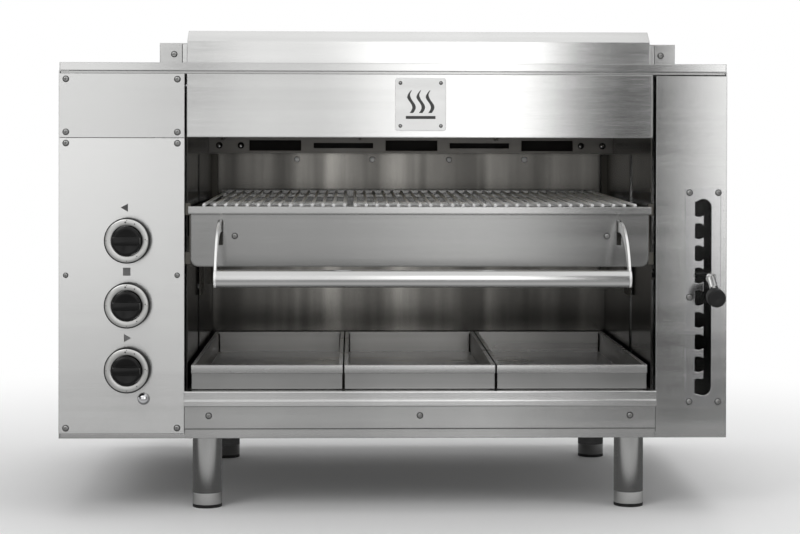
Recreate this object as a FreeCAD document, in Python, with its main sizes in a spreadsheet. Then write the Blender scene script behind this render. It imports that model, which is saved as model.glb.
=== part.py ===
import FreeCAD, Part
import math
import os
import re
import Sketcher

# Gas grill with three overhead burners, a lifting rack drawer and three drip pans.
# Millimetres. +X right, +Y back, +Z up; the feet stand on z = 0.

doc = FreeCAD.newDocument("melter")
sizes = doc.addObject("Spreadsheet::Sheet", "sizes")
places = doc.addObject("Spreadsheet::Sheet", "places")
known = {}


def add_cell(sheet, name, text):
    row = str(1 + sum(1 for owner in known.values() if owner == sheet.Name))
    sheet.set("A" + row, name)
    sheet.set("B" + row, text)
    sheet.setAlias("B" + row, name)
    known[name] = sheet.Name


def full(expression):
    def owned(match):
        word = match.group(0)
        return known[word] + "." + word if word in known else word
    return re.sub(r"[A-Za-z_][A-Za-z_0-9]*", owned, str(expression))


# Driving sizes
for name, number in (
        # casing
        ("body_wide", 900), ("body_high", 505), ("body_deep", 560), ("leg_high", 100),
        ("skin_gauge", 1.5), ("liner_gauge", 1.2), ("flange_wide", 14), ("fold_deep", 20),
        ("left_house_wide", 168), ("right_house_wide", 96), ("left_jamb_gap", 3.3),
        ("right_jamb_gap", 5.2), ("lid_lip", 11), ("lid_shadow", 4), ("lid_inset", 1),
        ("base_fold", 6.5), ("seam_gap", 0.6), ("overrun", 5), ("running_gap", 0.3),
        # fronts
        ("upper_panel_high", 86), ("fascia_high", 85), ("fascia_return", 24), ("badge_wide", 68.7),
        ("badge_high", 71.5), ("badge_gauge", 1.2), ("badge_corner", 4), ("badge_rivet_x", 27.3),
        ("badge_rivet_z", 28.9), ("rivet_radius", 1.7), ("right_panel_drop", 1.3),
        ("screw_radius", 3.7), ("screw_head", 1.6), ("screw_inset_x", 9.5), ("screw_inset_z", 7.5),
        ("mid_screw_radius", 2.9), ("mid_screw_rise", 14),
        ("lower_high", 44), ("lower_joggle", 15), ("lower_screw_z", 30.5), ("lower_screw_x", 284),
        ("rail_high", 20.4), ("rail_step", 9), ("rail_reach", 8), ("rail_nose", 12), ("rail_deep", 11),
        # controls
        ("knob_count", 3), ("knob_pitch", 86.6), ("knob_top_z", 366.4), ("knob_inset", 93),
        ("bezel_radius", 30.5), ("bezel_bore", 20.5), ("bezel_proud", 18), ("bezel_round", 2.5),
        ("grip_radius", 19.5), ("grip_proud", 31), ("grip_back", 9), ("grip_waist", 24),
        ("grip_bar", 11), ("grip_round", 2), ("stem_radius", 4), ("stem_proud", 20),
        ("grip_bore_deep", 16), ("valve_wide", 32), ("valve_deep", 34), ("valve_back", 22),
        ("valve_boss", 9), ("valve_bore_deep", 12), ("igniter_x_inset", 113.7), ("igniter_z", 153.5),
        ("button_radius", 7.7), ("button_proud", 8), ("button_travel", 4), ("button_stem", 3),
        ("button_shoulder", 6.2), ("button_drop", 1.6), ("button_flat", 0.3), ("igniter_radius", 10),
        ("igniter_deep", 44),
        # index plate and lever
        ("index_wide", 48.5), ("index_high", 294), ("index_low", 43), ("index_inset", 8.2),
        ("index_gauge", 2), ("slot_wide", 22.4), ("slot_high", 265.6), ("slot_low", 57),
        ("slot_inset", 21.2), ("notch_count", 9), ("notch_pitch", 30), ("notch_radius", 10.6),
        ("notch_top_drop", 13.4), ("free_column", 10.4), ("notch_offset", 6.95), ("rest_notch", 3),
        ("window_margin", 4), ("lever_radius", 4), ("sleeve_radius", 5.6), ("sleeve_start", 7),
        ("sleeve_long", 24), ("lever_bend", 22), ("lever_drop_share", 0.6), ("lever_reach", 66),
        ("cap_radius", 12.2), ("cap_long", 18), ("collar_radius", 7), ("collar_long", 3),
        # cavity
        ("cavity_deep", 460), ("wall_back", 30), ("wall_start", 12), ("shelf_gauge", 1.2),
        ("slit_wide", 26), ("slit_low", 190), ("slit_high", 290),
        # lift
        ("shaft_back", 65), ("shaft_z", 290), ("shaft_radius", 8), ("arm_long", 310), ("arm_gauge", 5),
        ("arm_high", 20), ("arm_gap", 10), ("hub_radius", 15), ("pin_radius", 4), ("pin_play", 0.8),
        ("pin_swing", 14.5), ("bearing_radius", 18), ("bearing_long", 8), ("shaft_play", 0.05),
        ("lever_hub_long", 14), ("yoke_deep", 26), ("yoke_pin", 3),
       
        # carriage and rack
        ("cheek_gauge", 2), ("cheek_gap", 3), ("cheek_low", 370), ("cheek_top", 410),
        ("cheek_start", 4), ("pin_plate_wide", 56), ("pin_plate_start", 165), ("pin_plate_low", 278),
        ("ledge_wide", 10), ("ledge_z", 394), ("keeper_wide", 9), ("cross_deep", 3), ("cross_back", 23),
        ("guide_block_high", 16), ("guide_block_deep", 7), ("guide_block_jut", 2.6),
        ("guide_block_top", 400), ("guide_block_low", 334), ("guide_wide", 9), ("guide_gauge", 1.5),
        ("guide_low", 275), ("guide_high", 205), ("guide_play", 1), ("bar_wide", 10), ("bar_high", 9.4),
        ("frame_front", 4), ("frame_clear", 28), ("upstand_top", 424), ("apron_low", 331),
        ("lip_low", 402), ("lip_high", 10), ("lip_reach", 6), ("apron_inset", 5), ("lip_inset", 2.2),
        ("apron_corner", 11), ("arm_slot_wide", 6), ("arm_slot_high", 33), ("arm_slot_low", 360),
        ("handle_inset", 41.4), ("handle_reach", 97), ("handle_bend", 80), ("handle_radius", 11.5), ("handle_wall", 1.5),
        ("handle_z", 321.8), ("blade_drop", 17), ("blade_gauge", 3), ("blade_wide", 14),
        ("wire_radius", 2.25), ("side_wires", 14), ("middle_wires", 13), ("wire_first", 7),
        ("wire_start", 7), ("wire_back", 31), ("cross_rod_radius", 3), ("cross_rod_gap", 135),
        ("cross_rod_edge", 7), ("weld_bite", 0.4), ("grid_overhang", 3), ("grid_rise", 7),
        # drip pans
        ("pan_gap", 2.2), ("pan_high", 33), ("pan_start", 6), ("pan_back", 8), ("pan_gauge", 1.2),
        ("pan_rim", 4), ("pan_rim_high", 3), ("pan_corner", 6), ("pan_side_gap", 5.7),
        # burners
        ("bay_count", 3), ("burner_spread", 5.5), ("burner_gap", 21), ("burner_start", 30),
        ("burner_run", 340), ("burner_low", 512), ("burner_high", 50), ("tile_thick", 12),
        ("tile_border", 8), ("tile_count", 4), ("tile_gap", 1.2), ("throat_radius", 15),
        ("throat_back", 28), ("frame_bar_low", 482), ("frame_bar_high", 30), ("frame_bar_depth", 375),
        ("frame_bar_gauge", 2), ("window_trim", 110), ("window_high", 16), ("frame_web", 19.5),
        ("frame_slot_high", 8), ("electrode_radius", 2), ("electrode_run", 60),
        ("electrode_start", 345), ("electrode_z", 504), ("electrode_offset", 80),
        ("frame_hole_radius", 5), ("frame_hole_edge", 16.25), ("frame_hole_pitch", 33.5),
        ("frame_hole_z", 494), ("frame_ledge", 20), ("injector_wide", 20), ("injector_high", 24),
        # gas
        ("pipe_radius", 10.4775), ("pipe_bore", 8), ("inlet_reach", 47), ("inlet_nut_radius", 16),
        ("inlet_nut_long", 23), ("inlet_z", 140), ("manifold_top", 30),
        ("tube_radius", 4), ("tube_bend", 16), ("tube_riser_pitch", 14), ("tube_lane_pitch", 30),
        ("tube_lane_first", 110), ("tube_high", 574),
        # flue
        ("flue_over", 45.75), ("flue_start", 90), ("flue_run", 210), ("flue_high", 31),
        ("deflector_over", 4.25), ("deflector_start", 52), ("deflector_high", 32),
        ("deflector_lean", 22), ("deflector_top", 47), ("flue_inset", 18), ("bracket_wide", 20),
        # legs and feet
        ("leg_radius", 20), ("leg_wall", 1.5), ("leg_spread", 289.5), ("leg_front", 48),
        ("leg_back", 448), ("leg_plate", 4), ("foot_pad", 4), ("foot_plug", 36),
        # rear
        ("louvre_wide", 120), ("louvre_high", 6), ("louvre_pitch", 16), ("louvre_count", 8),
        ("louvre_z", 380), ("louvre_spread", 210), ("inlet_clear", 2)):
    add_cell(sizes, name, str(number))

# Places worked out from the driving sizes
for name, formula in (
        ("front_y", "-(body_deep + inlet_reach - handle_reach - handle_radius) / 2"),
        ("back_y", "front_y + body_deep"),
        ("left_x", "-body_wide / 2"),
        ("right_x", "body_wide / 2"),
        ("top_z", "leg_high + body_high"),
        ("lid_z", "top_z - lid_lip"),
        ("panel_top_z", "lid_z - lid_shadow"),
        ("left_fold_x", "left_x + left_house_wide"),
        ("right_fold_x", "right_x - right_house_wide"),
        ("cavity_left", "left_fold_x + left_jamb_gap"),
        ("cavity_right", "right_fold_x - right_jamb_gap"),
        ("cavity_mid", "(cavity_left + cavity_right) / 2"),
        ("cavity_wide", "cavity_right - cavity_left"),
        ("flue_wide", "cavity_wide + 2 * flue_over"),
        ("deflector_wide", "cavity_wide + 2 * deflector_over"),
        ("burner_pitch", "(cavity_wide + burner_spread) / bay_count"),
        ("burner_wide", "burner_pitch - burner_gap"),
        ("throat_run", "cavity_deep - burner_start - burner_run - throat_back"),
        ("window_wide", "burner_wide - window_trim"),
        ("frame_slot_wide", "burner_pitch - window_wide - 2 * frame_web"),
        ("frame_hole_outer", "cavity_wide / 2 - frame_hole_edge"),
        ("frame_hole_inner", "frame_hole_outer - frame_hole_pitch"),
        ("cross_start", "cavity_deep - cross_back"),
        ("frame_run", "cavity_deep - frame_front - frame_clear"),
        ("wire_run", "cavity_deep - wire_start - wire_back"),
        ("cross_rod_first", "wire_start + cross_rod_edge"),
        ("cross_rod_second", "cross_rod_first + cross_rod_gap"),
        ("cross_rod_last", "wire_start + wire_run - cross_rod_edge"),
        ("fascia_low", "panel_top_z - fascia_high"),
        ("lower_top_z", "leg_high + lower_high"),
        ("sill_z", "lower_top_z + rail_high"),
        ("knob_x", "left_x + knob_inset"),
        ("igniter_x", "left_x + igniter_x_inset"),
        ("index_x", "right_x - index_inset - index_wide"),
        ("slot_x", "right_x - slot_inset - slot_wide"),
        ("slot_z", "leg_high + slot_low"),
        ("column_x", "slot_x + slot_wide - free_column"),
        ("lever_x", "slot_x + slot_wide - free_column / 2"),
        ("top_notch_z", "slot_z + slot_high - notch_top_drop"),
        ("rest_notch_z", "top_notch_z - rest_notch * notch_pitch"),
        ("wall_run", "body_deep - wall_back"),
        ("shaft_depth", "body_deep - shaft_back"),
        ("shaft_y", "front_y + shaft_depth"),
        ("pin_y", "shaft_y - arm_long"),
        ("left_arm_x", "cavity_left - liner_gauge - arm_gap - arm_gauge"),
        ("right_arm_x", "cavity_right + liner_gauge + arm_gap"),
        ("rack_left", "cavity_left + cheek_gap + cheek_gauge"),
        ("rack_right", "cavity_right - cheek_gap - cheek_gauge"),
        ("frame_left", "rack_left + running_gap"),
        ("frame_right", "rack_right - running_gap"),
        ("frame_low", "ledge_z + cheek_gauge + running_gap"),
        ("frame_top", "frame_low + bar_high"),
        ("wire_z", "frame_top + 2 * cross_rod_radius + wire_radius - weld_bite"),
        ("wire_left", "frame_left + bar_wide + wire_first"),
        ("wire_pitch",
         "(frame_right - frame_left - 2 * bar_wide - 2 * wire_first) / (2 * side_wires + middle_wires - 1)"),
        ("pan_z", "sill_z + running_gap"),
        ("pan_wide", "(cavity_wide - 2 * pan_side_gap - (bay_count - 1) * pan_gap) / bay_count"),
        ("pan_run", "cavity_deep - pan_start - pan_back"),
        ("arm_left_x", "frame_left + handle_inset - blade_gauge"),
        ("arm_right_x", "frame_right - handle_inset"),
        ("blade_z", "handle_z - blade_drop"),
        ("badge_z", "fascia_low + fascia_high / 2 + lid_shadow / 2")):
    add_cell(places, name, "=" + full(formula))
doc.recompute()


def value(expression):
    return float(places.evalExpression(full(expression)))


def bind(item, **paths):
    for path, expression in paths.items():
        item.setExpression(path.replace("__", "."), full(expression))


def place(item, x, y, z):
    for axis, expression in zip("xyz", (x, y, z)):
        item.setExpression(".Placement.Base." + axis, full(expression))


subparts = []


def keep(item, label):
    item.Label = label
    subparts.append(item)
    return item


# Part primitives, bound to the sheets
def box(name, x, y, z, length, width, height):
    item = doc.addObject("Part::Box", name)
    bind(item, Length=length, Width=width, Height=height)
    place(item, x, y, z)
    return item


TURNS = {"X": (FreeCAD.Vector(0, 1, 0), 90), "Y": (FreeCAD.Vector(1, 0, 0), -90),
         "Z": (FreeCAD.Vector(0, 0, 1), 0)}


def rod(name, along, x, y, z, radius, length):
    item = doc.addObject("Part::Cylinder", name)
    item.Placement.Rotation = FreeCAD.Rotation(*TURNS[along])
    bind(item, Radius=radius, Height=length)
    place(item, x, y, z)
    return item


def fuse(name, pieces):
    item = doc.addObject("Part::MultiFuse", name)
    item.Shapes = pieces
    return item


def cut(name, base, tool):
    item = doc.addObject("Part::Cut", name)
    item.Base = base
    item.Tool = tool
    return item


def common(name, base, tool):
    item = doc.addObject("Part::Common", name)
    item.Base = base
    item.Tool = tool
    return item


def group(name, pieces):
    item = doc.addObject("Part::Compound", name)
    item.Links = pieces
    return item


# PartDesign bodies with sketches in their own frame
def body(name, x, y, z):
    item = doc.addObject("PartDesign::Body", name)
    place(item, x, y, z)
    return item


def sketch(owner, name, role, lift="0"):
    item = owner.newObject("Sketcher::SketchObject", name)
    origin_plane = [feature for feature in owner.Origin.OriginFeatures if feature.Role == role + "_Plane"]
    item.AttachmentSupport = [(origin_plane[0], "")]
    item.MapMode = "FlatFace"
    item.setExpression("AttachmentOffset.Base.z", full(lift))
    return item


def pin_point(item, shape, point, across, up):
    for kind, expression in (("DistanceX", across), ("DistanceY", up)):
        index = item.addConstraint(Sketcher.Constraint(kind, -1, 1, shape, point, value(expression)))
        item.setExpression("Constraints[%d]" % index, full(expression))


def outline(item, points):
    first = item.GeometryCount
    spots = [FreeCAD.Vector(value(across), value(up), 0) for across, up in points]
    count = len(points)
    for i in range(count):
        item.addGeometry(Part.LineSegment(spots[i], spots[(i + 1) % count]), False)
    for i in range(count):
        item.addConstraint(Sketcher.Constraint("Coincident", first + i, 2, first + (i + 1) % count, 1))
    for i in range(count):
        pin_point(item, first + i, 1, *points[i])


def rectangle(item, across, up, wide, high):
    outline(item, [(across, up), ("(%s) + (%s)" % (across, wide), up),
                   ("(%s) + (%s)" % (across, wide), "(%s) + (%s)" % (up, high)),
                   (across, "(%s) + (%s)" % (up, high))])


def circle(item, across, up, radius):
    spot = FreeCAD.Vector(value(across), value(up), 0)
    index = item.addGeometry(Part.Circle(spot, FreeCAD.Vector(0, 0, 1), value(radius)), False)
    row = item.addConstraint(Sketcher.Constraint("Radius", index, value(radius)))
    item.setExpression("Constraints[%d]" % row, full(radius))
    pin_point(item, index, 3, across, up)


def pad(owner, profile, length, back=False):
    item = owner.newObject("PartDesign::Pad", profile.Name + "_pad")
    item.Profile = profile
    bind(item, Length=length)
    item.Reversed = back
    doc.recompute()
    return item


def pocket(owner, profile, length, back=False):
    before = owner.Shape.Volume
    item = owner.newObject("PartDesign::Pocket", profile.Name + "_pocket")
    item.Profile = profile
    bind(item, Length=length)
    item.Reversed = back
    doc.recompute()
    if owner.Shape.Volume > before - 0.001:
        raise RuntimeError(profile.Name + " cuts nothing")
    return item


def repeat(owner, feature, plane_axis, pitch, count):
    item = owner.newObject("PartDesign::LinearPattern", feature.Name + "_row")
    item.Originals = [feature]
    item.Direction = (feature.Profile[0], [plane_axis])
    item.Mode = "Spacing"
    bind(item, Offset=pitch, Occurrences=count)
    owner.Tip = item
    doc.recompute()
    return item


def revolve(owner, profile, role):
    item = owner.newObject("PartDesign::Revolution", profile.Name + "_turn")
    item.Profile = profile
    line = [feature for feature in owner.Origin.OriginFeatures if feature.Role == role + "_Axis"]
    item.ReferenceAxis = (line[0], [""])
    item.Angle = 360
    doc.recompute()
    return item


def soften(owner, feature, radius, wanted, kind="Fillet"):
    names = ["Edge%d" % (i + 1) for i, edge in enumerate(feature.Shape.Edges) if wanted(edge)]
    item = owner.newObject("PartDesign::" + kind, feature.Name + "_" + kind.lower())
    item.Base = (feature, names)
    bind(item, **{"Radius" if kind == "Fillet" else "Size": radius})
    doc.recompute()
    return item


def runs_along(edge, axis):
    if len(edge.Vertexes) != 2 or edge.Curve.TypeId != "Part::GeomLine":
        return False
    step = edge.Vertexes[1].Point - edge.Vertexes[0].Point
    return abs(getattr(step, axis)) > 0.999 * step.Length


def bent_rod(name, points, bend, radius, bore=None):
    """A round bar or tube along straight runs joined by tangent arcs."""
    spots = [FreeCAD.Vector(*[value(part) for part in point]) for point in points]
    edges = []
    start = spots[0]
    for before, corner, after in zip(spots, spots[1:], spots[2:]):
        into = (corner - before).normalize()
        out = (after - corner).normalize()
        turn = into.getAngle(out)
        trim = value(bend) * math.tan(turn / 2)
        first = corner - into * trim
        last = corner + out * trim
        sagitta = (out - into).normalize() * (value(bend) * (1 / math.cos(turn / 2) - 1))
        edges.append(Part.LineSegment(start, first).toShape())
        edges.append(Part.Arc(first, corner + sagitta, last).toShape())
        start = last
    edges.append(Part.LineSegment(start, spots[-1]).toShape())
    path = Part.Wire(edges)

    def swept(size):
        ring = Part.Wire(Part.makeCircle(size, spots[0], spots[1] - spots[0]))
        shell = Part.BRepOffsetAPI.MakePipeShell(path)
        shell.add(ring)
        shell.build()
        shell.makeSolid()
        return shell.shape()
    solid = swept(value(radius))
    if bore is not None:
        solid = solid.cut(swept(value(bore)))
    item = doc.addObject("Part::Feature", name)
    item.Shape = solid
    return item


# Sheet-metal casing
def side_panel(label, x, inward):
    """One outer side: a sheet with its top edge folded inwards."""
    side = body(label, x, "front_y + skin_gauge", "leg_high")
    high = "(body_high - lid_lip)"
    flat = "%s * skin_gauge" % inward
    edge = "%s * flange_wide" % inward
    profile = sketch(side, label + "_section", "XZ")
    outline(profile, [("0", "0"), (flat, "0"), (flat, high + " - skin_gauge"), (edge, high + " - skin_gauge"),
                      (edge, high), ("0", high)])
    pad(side, profile, "body_deep - 2 * skin_gauge", back=True)
    return keep(side, label)


side_panel("left_side_panel", "left_x", "1")
side_panel("right_side_panel", "right_x", "-1")

rear = body("rear_panel", "left_x", "back_y", "leg_high")
profile = sketch(rear, "rear_sheet", "XZ")
rectangle(profile, "0", "0", "body_wide", "body_high - lid_lip - running_gap")
pad(rear, profile, "skin_gauge")
profile = sketch(rear, "rear_inlet_hole", "XZ", "skin_gauge")
circle(profile, "knob_x - left_x", "inlet_z - leg_high", "pipe_radius + inlet_clear")
pocket(rear, profile, "skin_gauge + overrun")
for side, sign in (("left", "-1"), ("right", "1")):
    profile = sketch(rear, "rear_louvre_" + side, "XZ", "skin_gauge")
    middle = "body_wide / 2 + %s * louvre_spread" % sign
    rectangle(profile, middle + " - louvre_wide / 2", "louvre_z - leg_high", "louvre_wide", "louvre_high")
    repeat(rear, pocket(rear, profile, "skin_gauge + overrun"), "V_Axis", "louvre_pitch", "louvre_count")
keep(rear, "rear_panel")

lid = body("top_cover", "left_x + lid_inset", "front_y", "lid_z")
lid_wide = "(body_wide - 2 * lid_inset)"
profile = sketch(lid, "lid_blank", "XY")
rectangle(profile, "0", "0", lid_wide, "body_deep")
pad(lid, profile, "lid_lip")
profile = sketch(lid, "lid_inside", "XY")
rectangle(profile, "skin_gauge", "skin_gauge", lid_wide + " - 2 * skin_gauge", "body_deep - 2 * skin_gauge")
pocket(lid, profile, "lid_lip - skin_gauge", back=True)
profile = sketch(lid, "lid_flue_hole", "XY", "lid_lip")
rectangle(profile, "cavity_mid - flue_wide / 2 + flue_inset - left_x - lid_inset", "flue_start + flue_inset",
          "flue_wide - 2 * flue_inset", "flue_run - 2 * flue_inset")
pocket(lid, profile, "lid_lip")
keep(lid, "top_cover")

tray = body("base_tray", "left_x + skin_gauge + running_gap", "front_y + skin_gauge", "leg_high")
tray_deep = "(body_deep - 2 * skin_gauge - running_gap)"
profile = sketch(tray, "tray_section", "YZ")
outline(profile, [("0", "0"), (tray_deep, "0"), (tray_deep, "fold_deep"),
                  (tray_deep + " - skin_gauge", "fold_deep"),
                  (tray_deep + " - skin_gauge", "skin_gauge"), ("skin_gauge", "skin_gauge"),
                  ("skin_gauge", "base_fold"), ("0", "base_fold")])
pad(tray, profile, "body_wide - 2 * skin_gauge - 2 * running_gap")
keep(tray, "base_tray")


def front_skin(label, x, low, wide, high, fold_at):
    """A front sheet whose edge beside the opening is folded back."""
    front = body(label, x, "front_y", low)
    profile = sketch(front, label + "_section", "XY")
    if fold_at == "right":
        outline(profile, [("0", "0"), (wide, "0"), (wide, "fold_deep"), (wide + " - skin_gauge", "fold_deep"),
                          (wide + " - skin_gauge", "skin_gauge"), ("0", "skin_gauge")])
    else:
        outline(profile, [("0", "0"), (wide, "0"), (wide, "skin_gauge"), ("skin_gauge", "skin_gauge"),
                          ("skin_gauge", "fold_deep"), ("0", "fold_deep")])
    pad(front, profile, high)
    return front


upper_low = "(panel_top_z - upper_panel_high)"
keep(front_skin("upper_left_panel", "left_x", upper_low, "left_house_wide", "upper_panel_high", "right"),
     "upper_left_panel")

panel_low = "(leg_high + base_fold)"
control = front_skin("control_panel", "left_x", panel_low, "left_house_wide",
                     upper_low + " - seam_gap - " + panel_low, "right")
profile = sketch(control, "control_holes", "XZ")
for row in range(int(value("knob_count"))):
    circle(profile, "knob_inset", "knob_top_z - %d * knob_pitch - %s" % (row, panel_low),
           "valve_boss + running_gap")
circle(profile, "igniter_x_inset", "igniter_z - " + panel_low, "button_radius + running_gap")
pocket(control, profile, "skin_gauge + overrun")
keep(control, "control_panel")

fascia = body("canopy_fascia", "cavity_left", "front_y", "fascia_low")
profile = sketch(fascia, "fascia_section", "YZ")
outline(profile, [("0", "0"), ("fascia_return", "0"), ("fascia_return", "skin_gauge"),
                  ("skin_gauge", "skin_gauge"),
                  ("skin_gauge", "fascia_high - skin_gauge"), ("flange_wide", "fascia_high - skin_gauge"),
                  ("flange_wide", "fascia_high"), ("0", "fascia_high")])
pad(fascia, profile, "cavity_wide")
keep(fascia, "canopy_fascia")

badge = body("badge_plate", "cavity_mid - badge_wide / 2", "front_y", "badge_z - badge_high / 2")
profile = sketch(badge, "badge_blank", "XZ")
rectangle(profile, "0", "0", "badge_wide", "badge_high")
soften(badge, pad(badge, profile, "badge_gauge"), "badge_corner", lambda edge: runs_along(edge, "y"))
keep(badge, "badge_plate")

right_front = front_skin("right_front_panel", "right_fold_x", "leg_high", "right_house_wide",
                         "panel_top_z - right_panel_drop - leg_high", "left")
profile = sketch(right_front, "right_window", "XZ")
rectangle(profile, "slot_x - right_fold_x - window_margin", "slot_z - leg_high - window_margin",
          "slot_wide + 2 * window_margin", "slot_high + 2 * window_margin")
pocket(right_front, profile, "skin_gauge + overrun")
profile = sketch(right_front, "right_fold_foot", "XY")
rectangle(profile, "0", "skin_gauge", "skin_gauge", "fold_deep")
pocket(right_front, profile, "base_fold + running_gap", back=True)
keep(right_front, "right_front_panel")

# Index plate: a free column at the right and nine round notches at its left
plate = box("index_blank", "index_x", "front_y - index_gauge", "leg_high + index_low", "index_wide",
            "index_gauge", "index_high")
cut_y = "front_y - index_gauge - overrun"
cut_deep = "index_gauge + 2 * overrun"
column = box("index_column", "column_x", cut_y, "slot_z + slot_wide / 2", "free_column", cut_deep,
             "slot_high - slot_wide")
ends = [rod("index_end_%d" % end, "Y", "slot_x + slot_wide / 2", cut_y, height, "slot_wide / 2", cut_deep)
        for end, height in enumerate(("slot_z + slot_wide / 2", "slot_z + slot_high - slot_wide / 2"))]
rounds = fuse("index_rounds", [
    rod("index_notch_%d" % step, "Y", "column_x - notch_offset", cut_y,
        "top_notch_z - %d * notch_pitch" % step,
        "notch_radius", cut_deep) for step in range(int(value("notch_count")))])
left_edge = box("index_left_edge", "slot_x", cut_y, "slot_z", "slot_wide", cut_deep, "slot_high")
notches = common("index_notches", rounds, left_edge)
keep(cut("index_plate", plate, fuse("index_slot", [column, notches] + ends)), "index_plate")

lower = body("lower_front_panel", "left_fold_x + seam_gap", "front_y - badge_gauge", "leg_high")
profile = sketch(lower, "lower_section", "YZ")
outline(profile, [("badge_gauge", "0"), ("badge_gauge + skin_gauge", "0"),
                  ("badge_gauge + skin_gauge", "lower_joggle - skin_gauge"), ("skin_gauge", "lower_joggle"),
                  ("skin_gauge", "lower_high"), ("0", "lower_high"), ("0", "lower_joggle - skin_gauge"),
                  ("badge_gauge", "lower_joggle - 2 * skin_gauge")])
pad(lower, profile, "right_fold_x - left_fold_x - 2 * seam_gap")
keep(lower, "lower_front_panel")

rail = body("front_rail", "left_fold_x + seam_gap", "front_y", "lower_top_z")
profile = sketch(rail, "rail_section", "YZ")
outline(profile, [("-rail_nose", "0"), ("rail_deep", "0"), ("rail_deep", "skin_gauge"),
                  ("-rail_reach", "skin_gauge"), ("-rail_reach", "rail_high - skin_gauge"),
                  ("rail_deep", "rail_high - skin_gauge"), ("rail_deep", "rail_high"),
                  ("-rail_reach - skin_gauge", "rail_high"), ("-rail_reach - skin_gauge", "rail_step"),
                  ("-rail_nose", "rail_step")])
rail_pad = pad(rail, profile, "right_fold_x - left_fold_x - 2 * seam_gap")
soften(rail, rail_pad, "skin_gauge", lambda edge: runs_along(edge, "x") and (
    edge.Vertexes[0].Y < value("-rail_nose") + 0.01 or edge.Vertexes[0].Z > value("rail_high") - 0.01
    and edge.Vertexes[0].Y < 0))
keep(rail, "front_rail")


# Controls on the left: bezels, grips on their stems, gas valves, igniter
def turned(label, x, y, z, points):
    """A turned piece about the y axis; points are radius and depth."""
    item = body(label, x, y, z)
    profile = sketch(item, label + "_half", "XY")
    outline(profile, points)
    revolve(item, profile, "Y")
    return item


bezels = []
valves = []
for row, spot in enumerate(("top", "middle", "bottom")):
    knob_z = "(knob_top_z - %d * knob_pitch)" % row
    bezels.append(turned("bezel_" + spot, "knob_x", "front_y", knob_z, [
        ("bezel_bore", "0"), ("bezel_radius", "0"), ("bezel_radius", "bezel_round - bezel_proud"),
        ("bezel_radius - bezel_round", "-bezel_proud"), ("bezel_bore", "-bezel_proud")]))
    grip = turned("knob_" + spot, "knob_x", "front_y", knob_z, [
        ("0", "-grip_back"), ("grip_radius", "-grip_back"), ("grip_radius - grip_round", "-grip_waist"),
        ("0", "-grip_waist")])
    profile = sketch(grip, "grip_bar_" + spot, "XZ", "grip_waist - grip_round")
    rectangle(profile, "grip_round - grip_radius", "-grip_bar / 2", "2 * grip_radius - 2 * grip_round",
              "grip_bar")
    bar = pad(grip, profile, "grip_proud - grip_waist + grip_round")
    profile = sketch(grip, "grip_bore_" + spot, "XZ", "grip_back")
    circle(profile, "0", "0", "stem_radius + running_gap")
    pocket(grip, profile, "grip_bore_deep", back=True)
    keep(grip, "knob_" + spot)
    keep(rod("valve_stem_" + spot, "Y", "knob_x", "front_y - stem_proud", knob_z, "stem_radius",
             "stem_proud + valve_bore_deep - running_gap"), "valve_stem_" + spot)
    block = box("valve_block_" + spot, "knob_x - valve_wide / 2", "front_y + valve_back",
                knob_z + " - valve_wide / 2", "valve_wide", "valve_deep", "valve_wide")
    boss = rod("valve_boss_" + spot, "Y", "knob_x", "front_y", knob_z, "valve_boss", "valve_back + overrun")
    bore = rod("valve_bore_" + spot, "Y", "knob_x", "front_y - overrun", knob_z, "stem_radius + running_gap",
               "valve_bore_deep + overrun")
    valves.append(cut("valve_" + spot, fuse("valve_solid_" + spot, [block, boss]), bore))
keep(group("knob_bezels", bezels), "knob_bezels")
keep(group("gas_valves", valves), "gas_valves")

keep(turned("igniter_button", "igniter_x", "front_y", "igniter_z", [
    ("0", "button_travel + button_stem"), ("button_radius", "button_travel + button_stem"),
    ("button_radius", "-button_proud / 2"), ("button_shoulder", "button_drop - button_proud"),
    ("button_radius / 2", "button_flat - button_proud"), ("0", "-button_proud")]), "igniter_button")
shell = rod("igniter_case", "Y", "igniter_x", "front_y + skin_gauge", "igniter_z", "igniter_radius",
            "igniter_deep")
bore = rod("igniter_bore", "Y", "igniter_x", "front_y", "igniter_z", "button_radius + running_gap",
           "2 * button_travel + button_stem + 2 * skin_gauge")
keep(cut("igniter_body", shell, bore), "igniter_body")

# Gas pipe from the rear inlet to the three valves, and a tube from each valve to its burner
manifold_y = "(front_y + valve_back + valve_deep + pipe_radius)"
pipe_end = "back_y + inlet_reach - %s" % manifold_y
riser_high = "knob_top_z + manifold_top - inlet_z"
outer_pipe = fuse("pipe_outer", [
    rod("pipe_run", "Y", "knob_x", manifold_y, "inlet_z", "pipe_radius", pipe_end),
    rod("pipe_riser", "Z", "knob_x", manifold_y, "inlet_z", "pipe_radius", riser_high),
    rod("inlet_nut", "Y", "knob_x", "back_y", "inlet_z", "inlet_nut_radius", "inlet_nut_long")])
inner_pipe = fuse("pipe_inner", [
    rod("pipe_run_bore", "Y", "knob_x", manifold_y, "inlet_z", "pipe_bore", pipe_end + " + overrun"),
    rod("pipe_riser_bore", "Z", "knob_x", manifold_y, "inlet_z", "pipe_bore", riser_high + " - overrun")])
keep(cut("gas_manifold", outer_pipe, inner_pipe), "gas_manifold")

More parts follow.
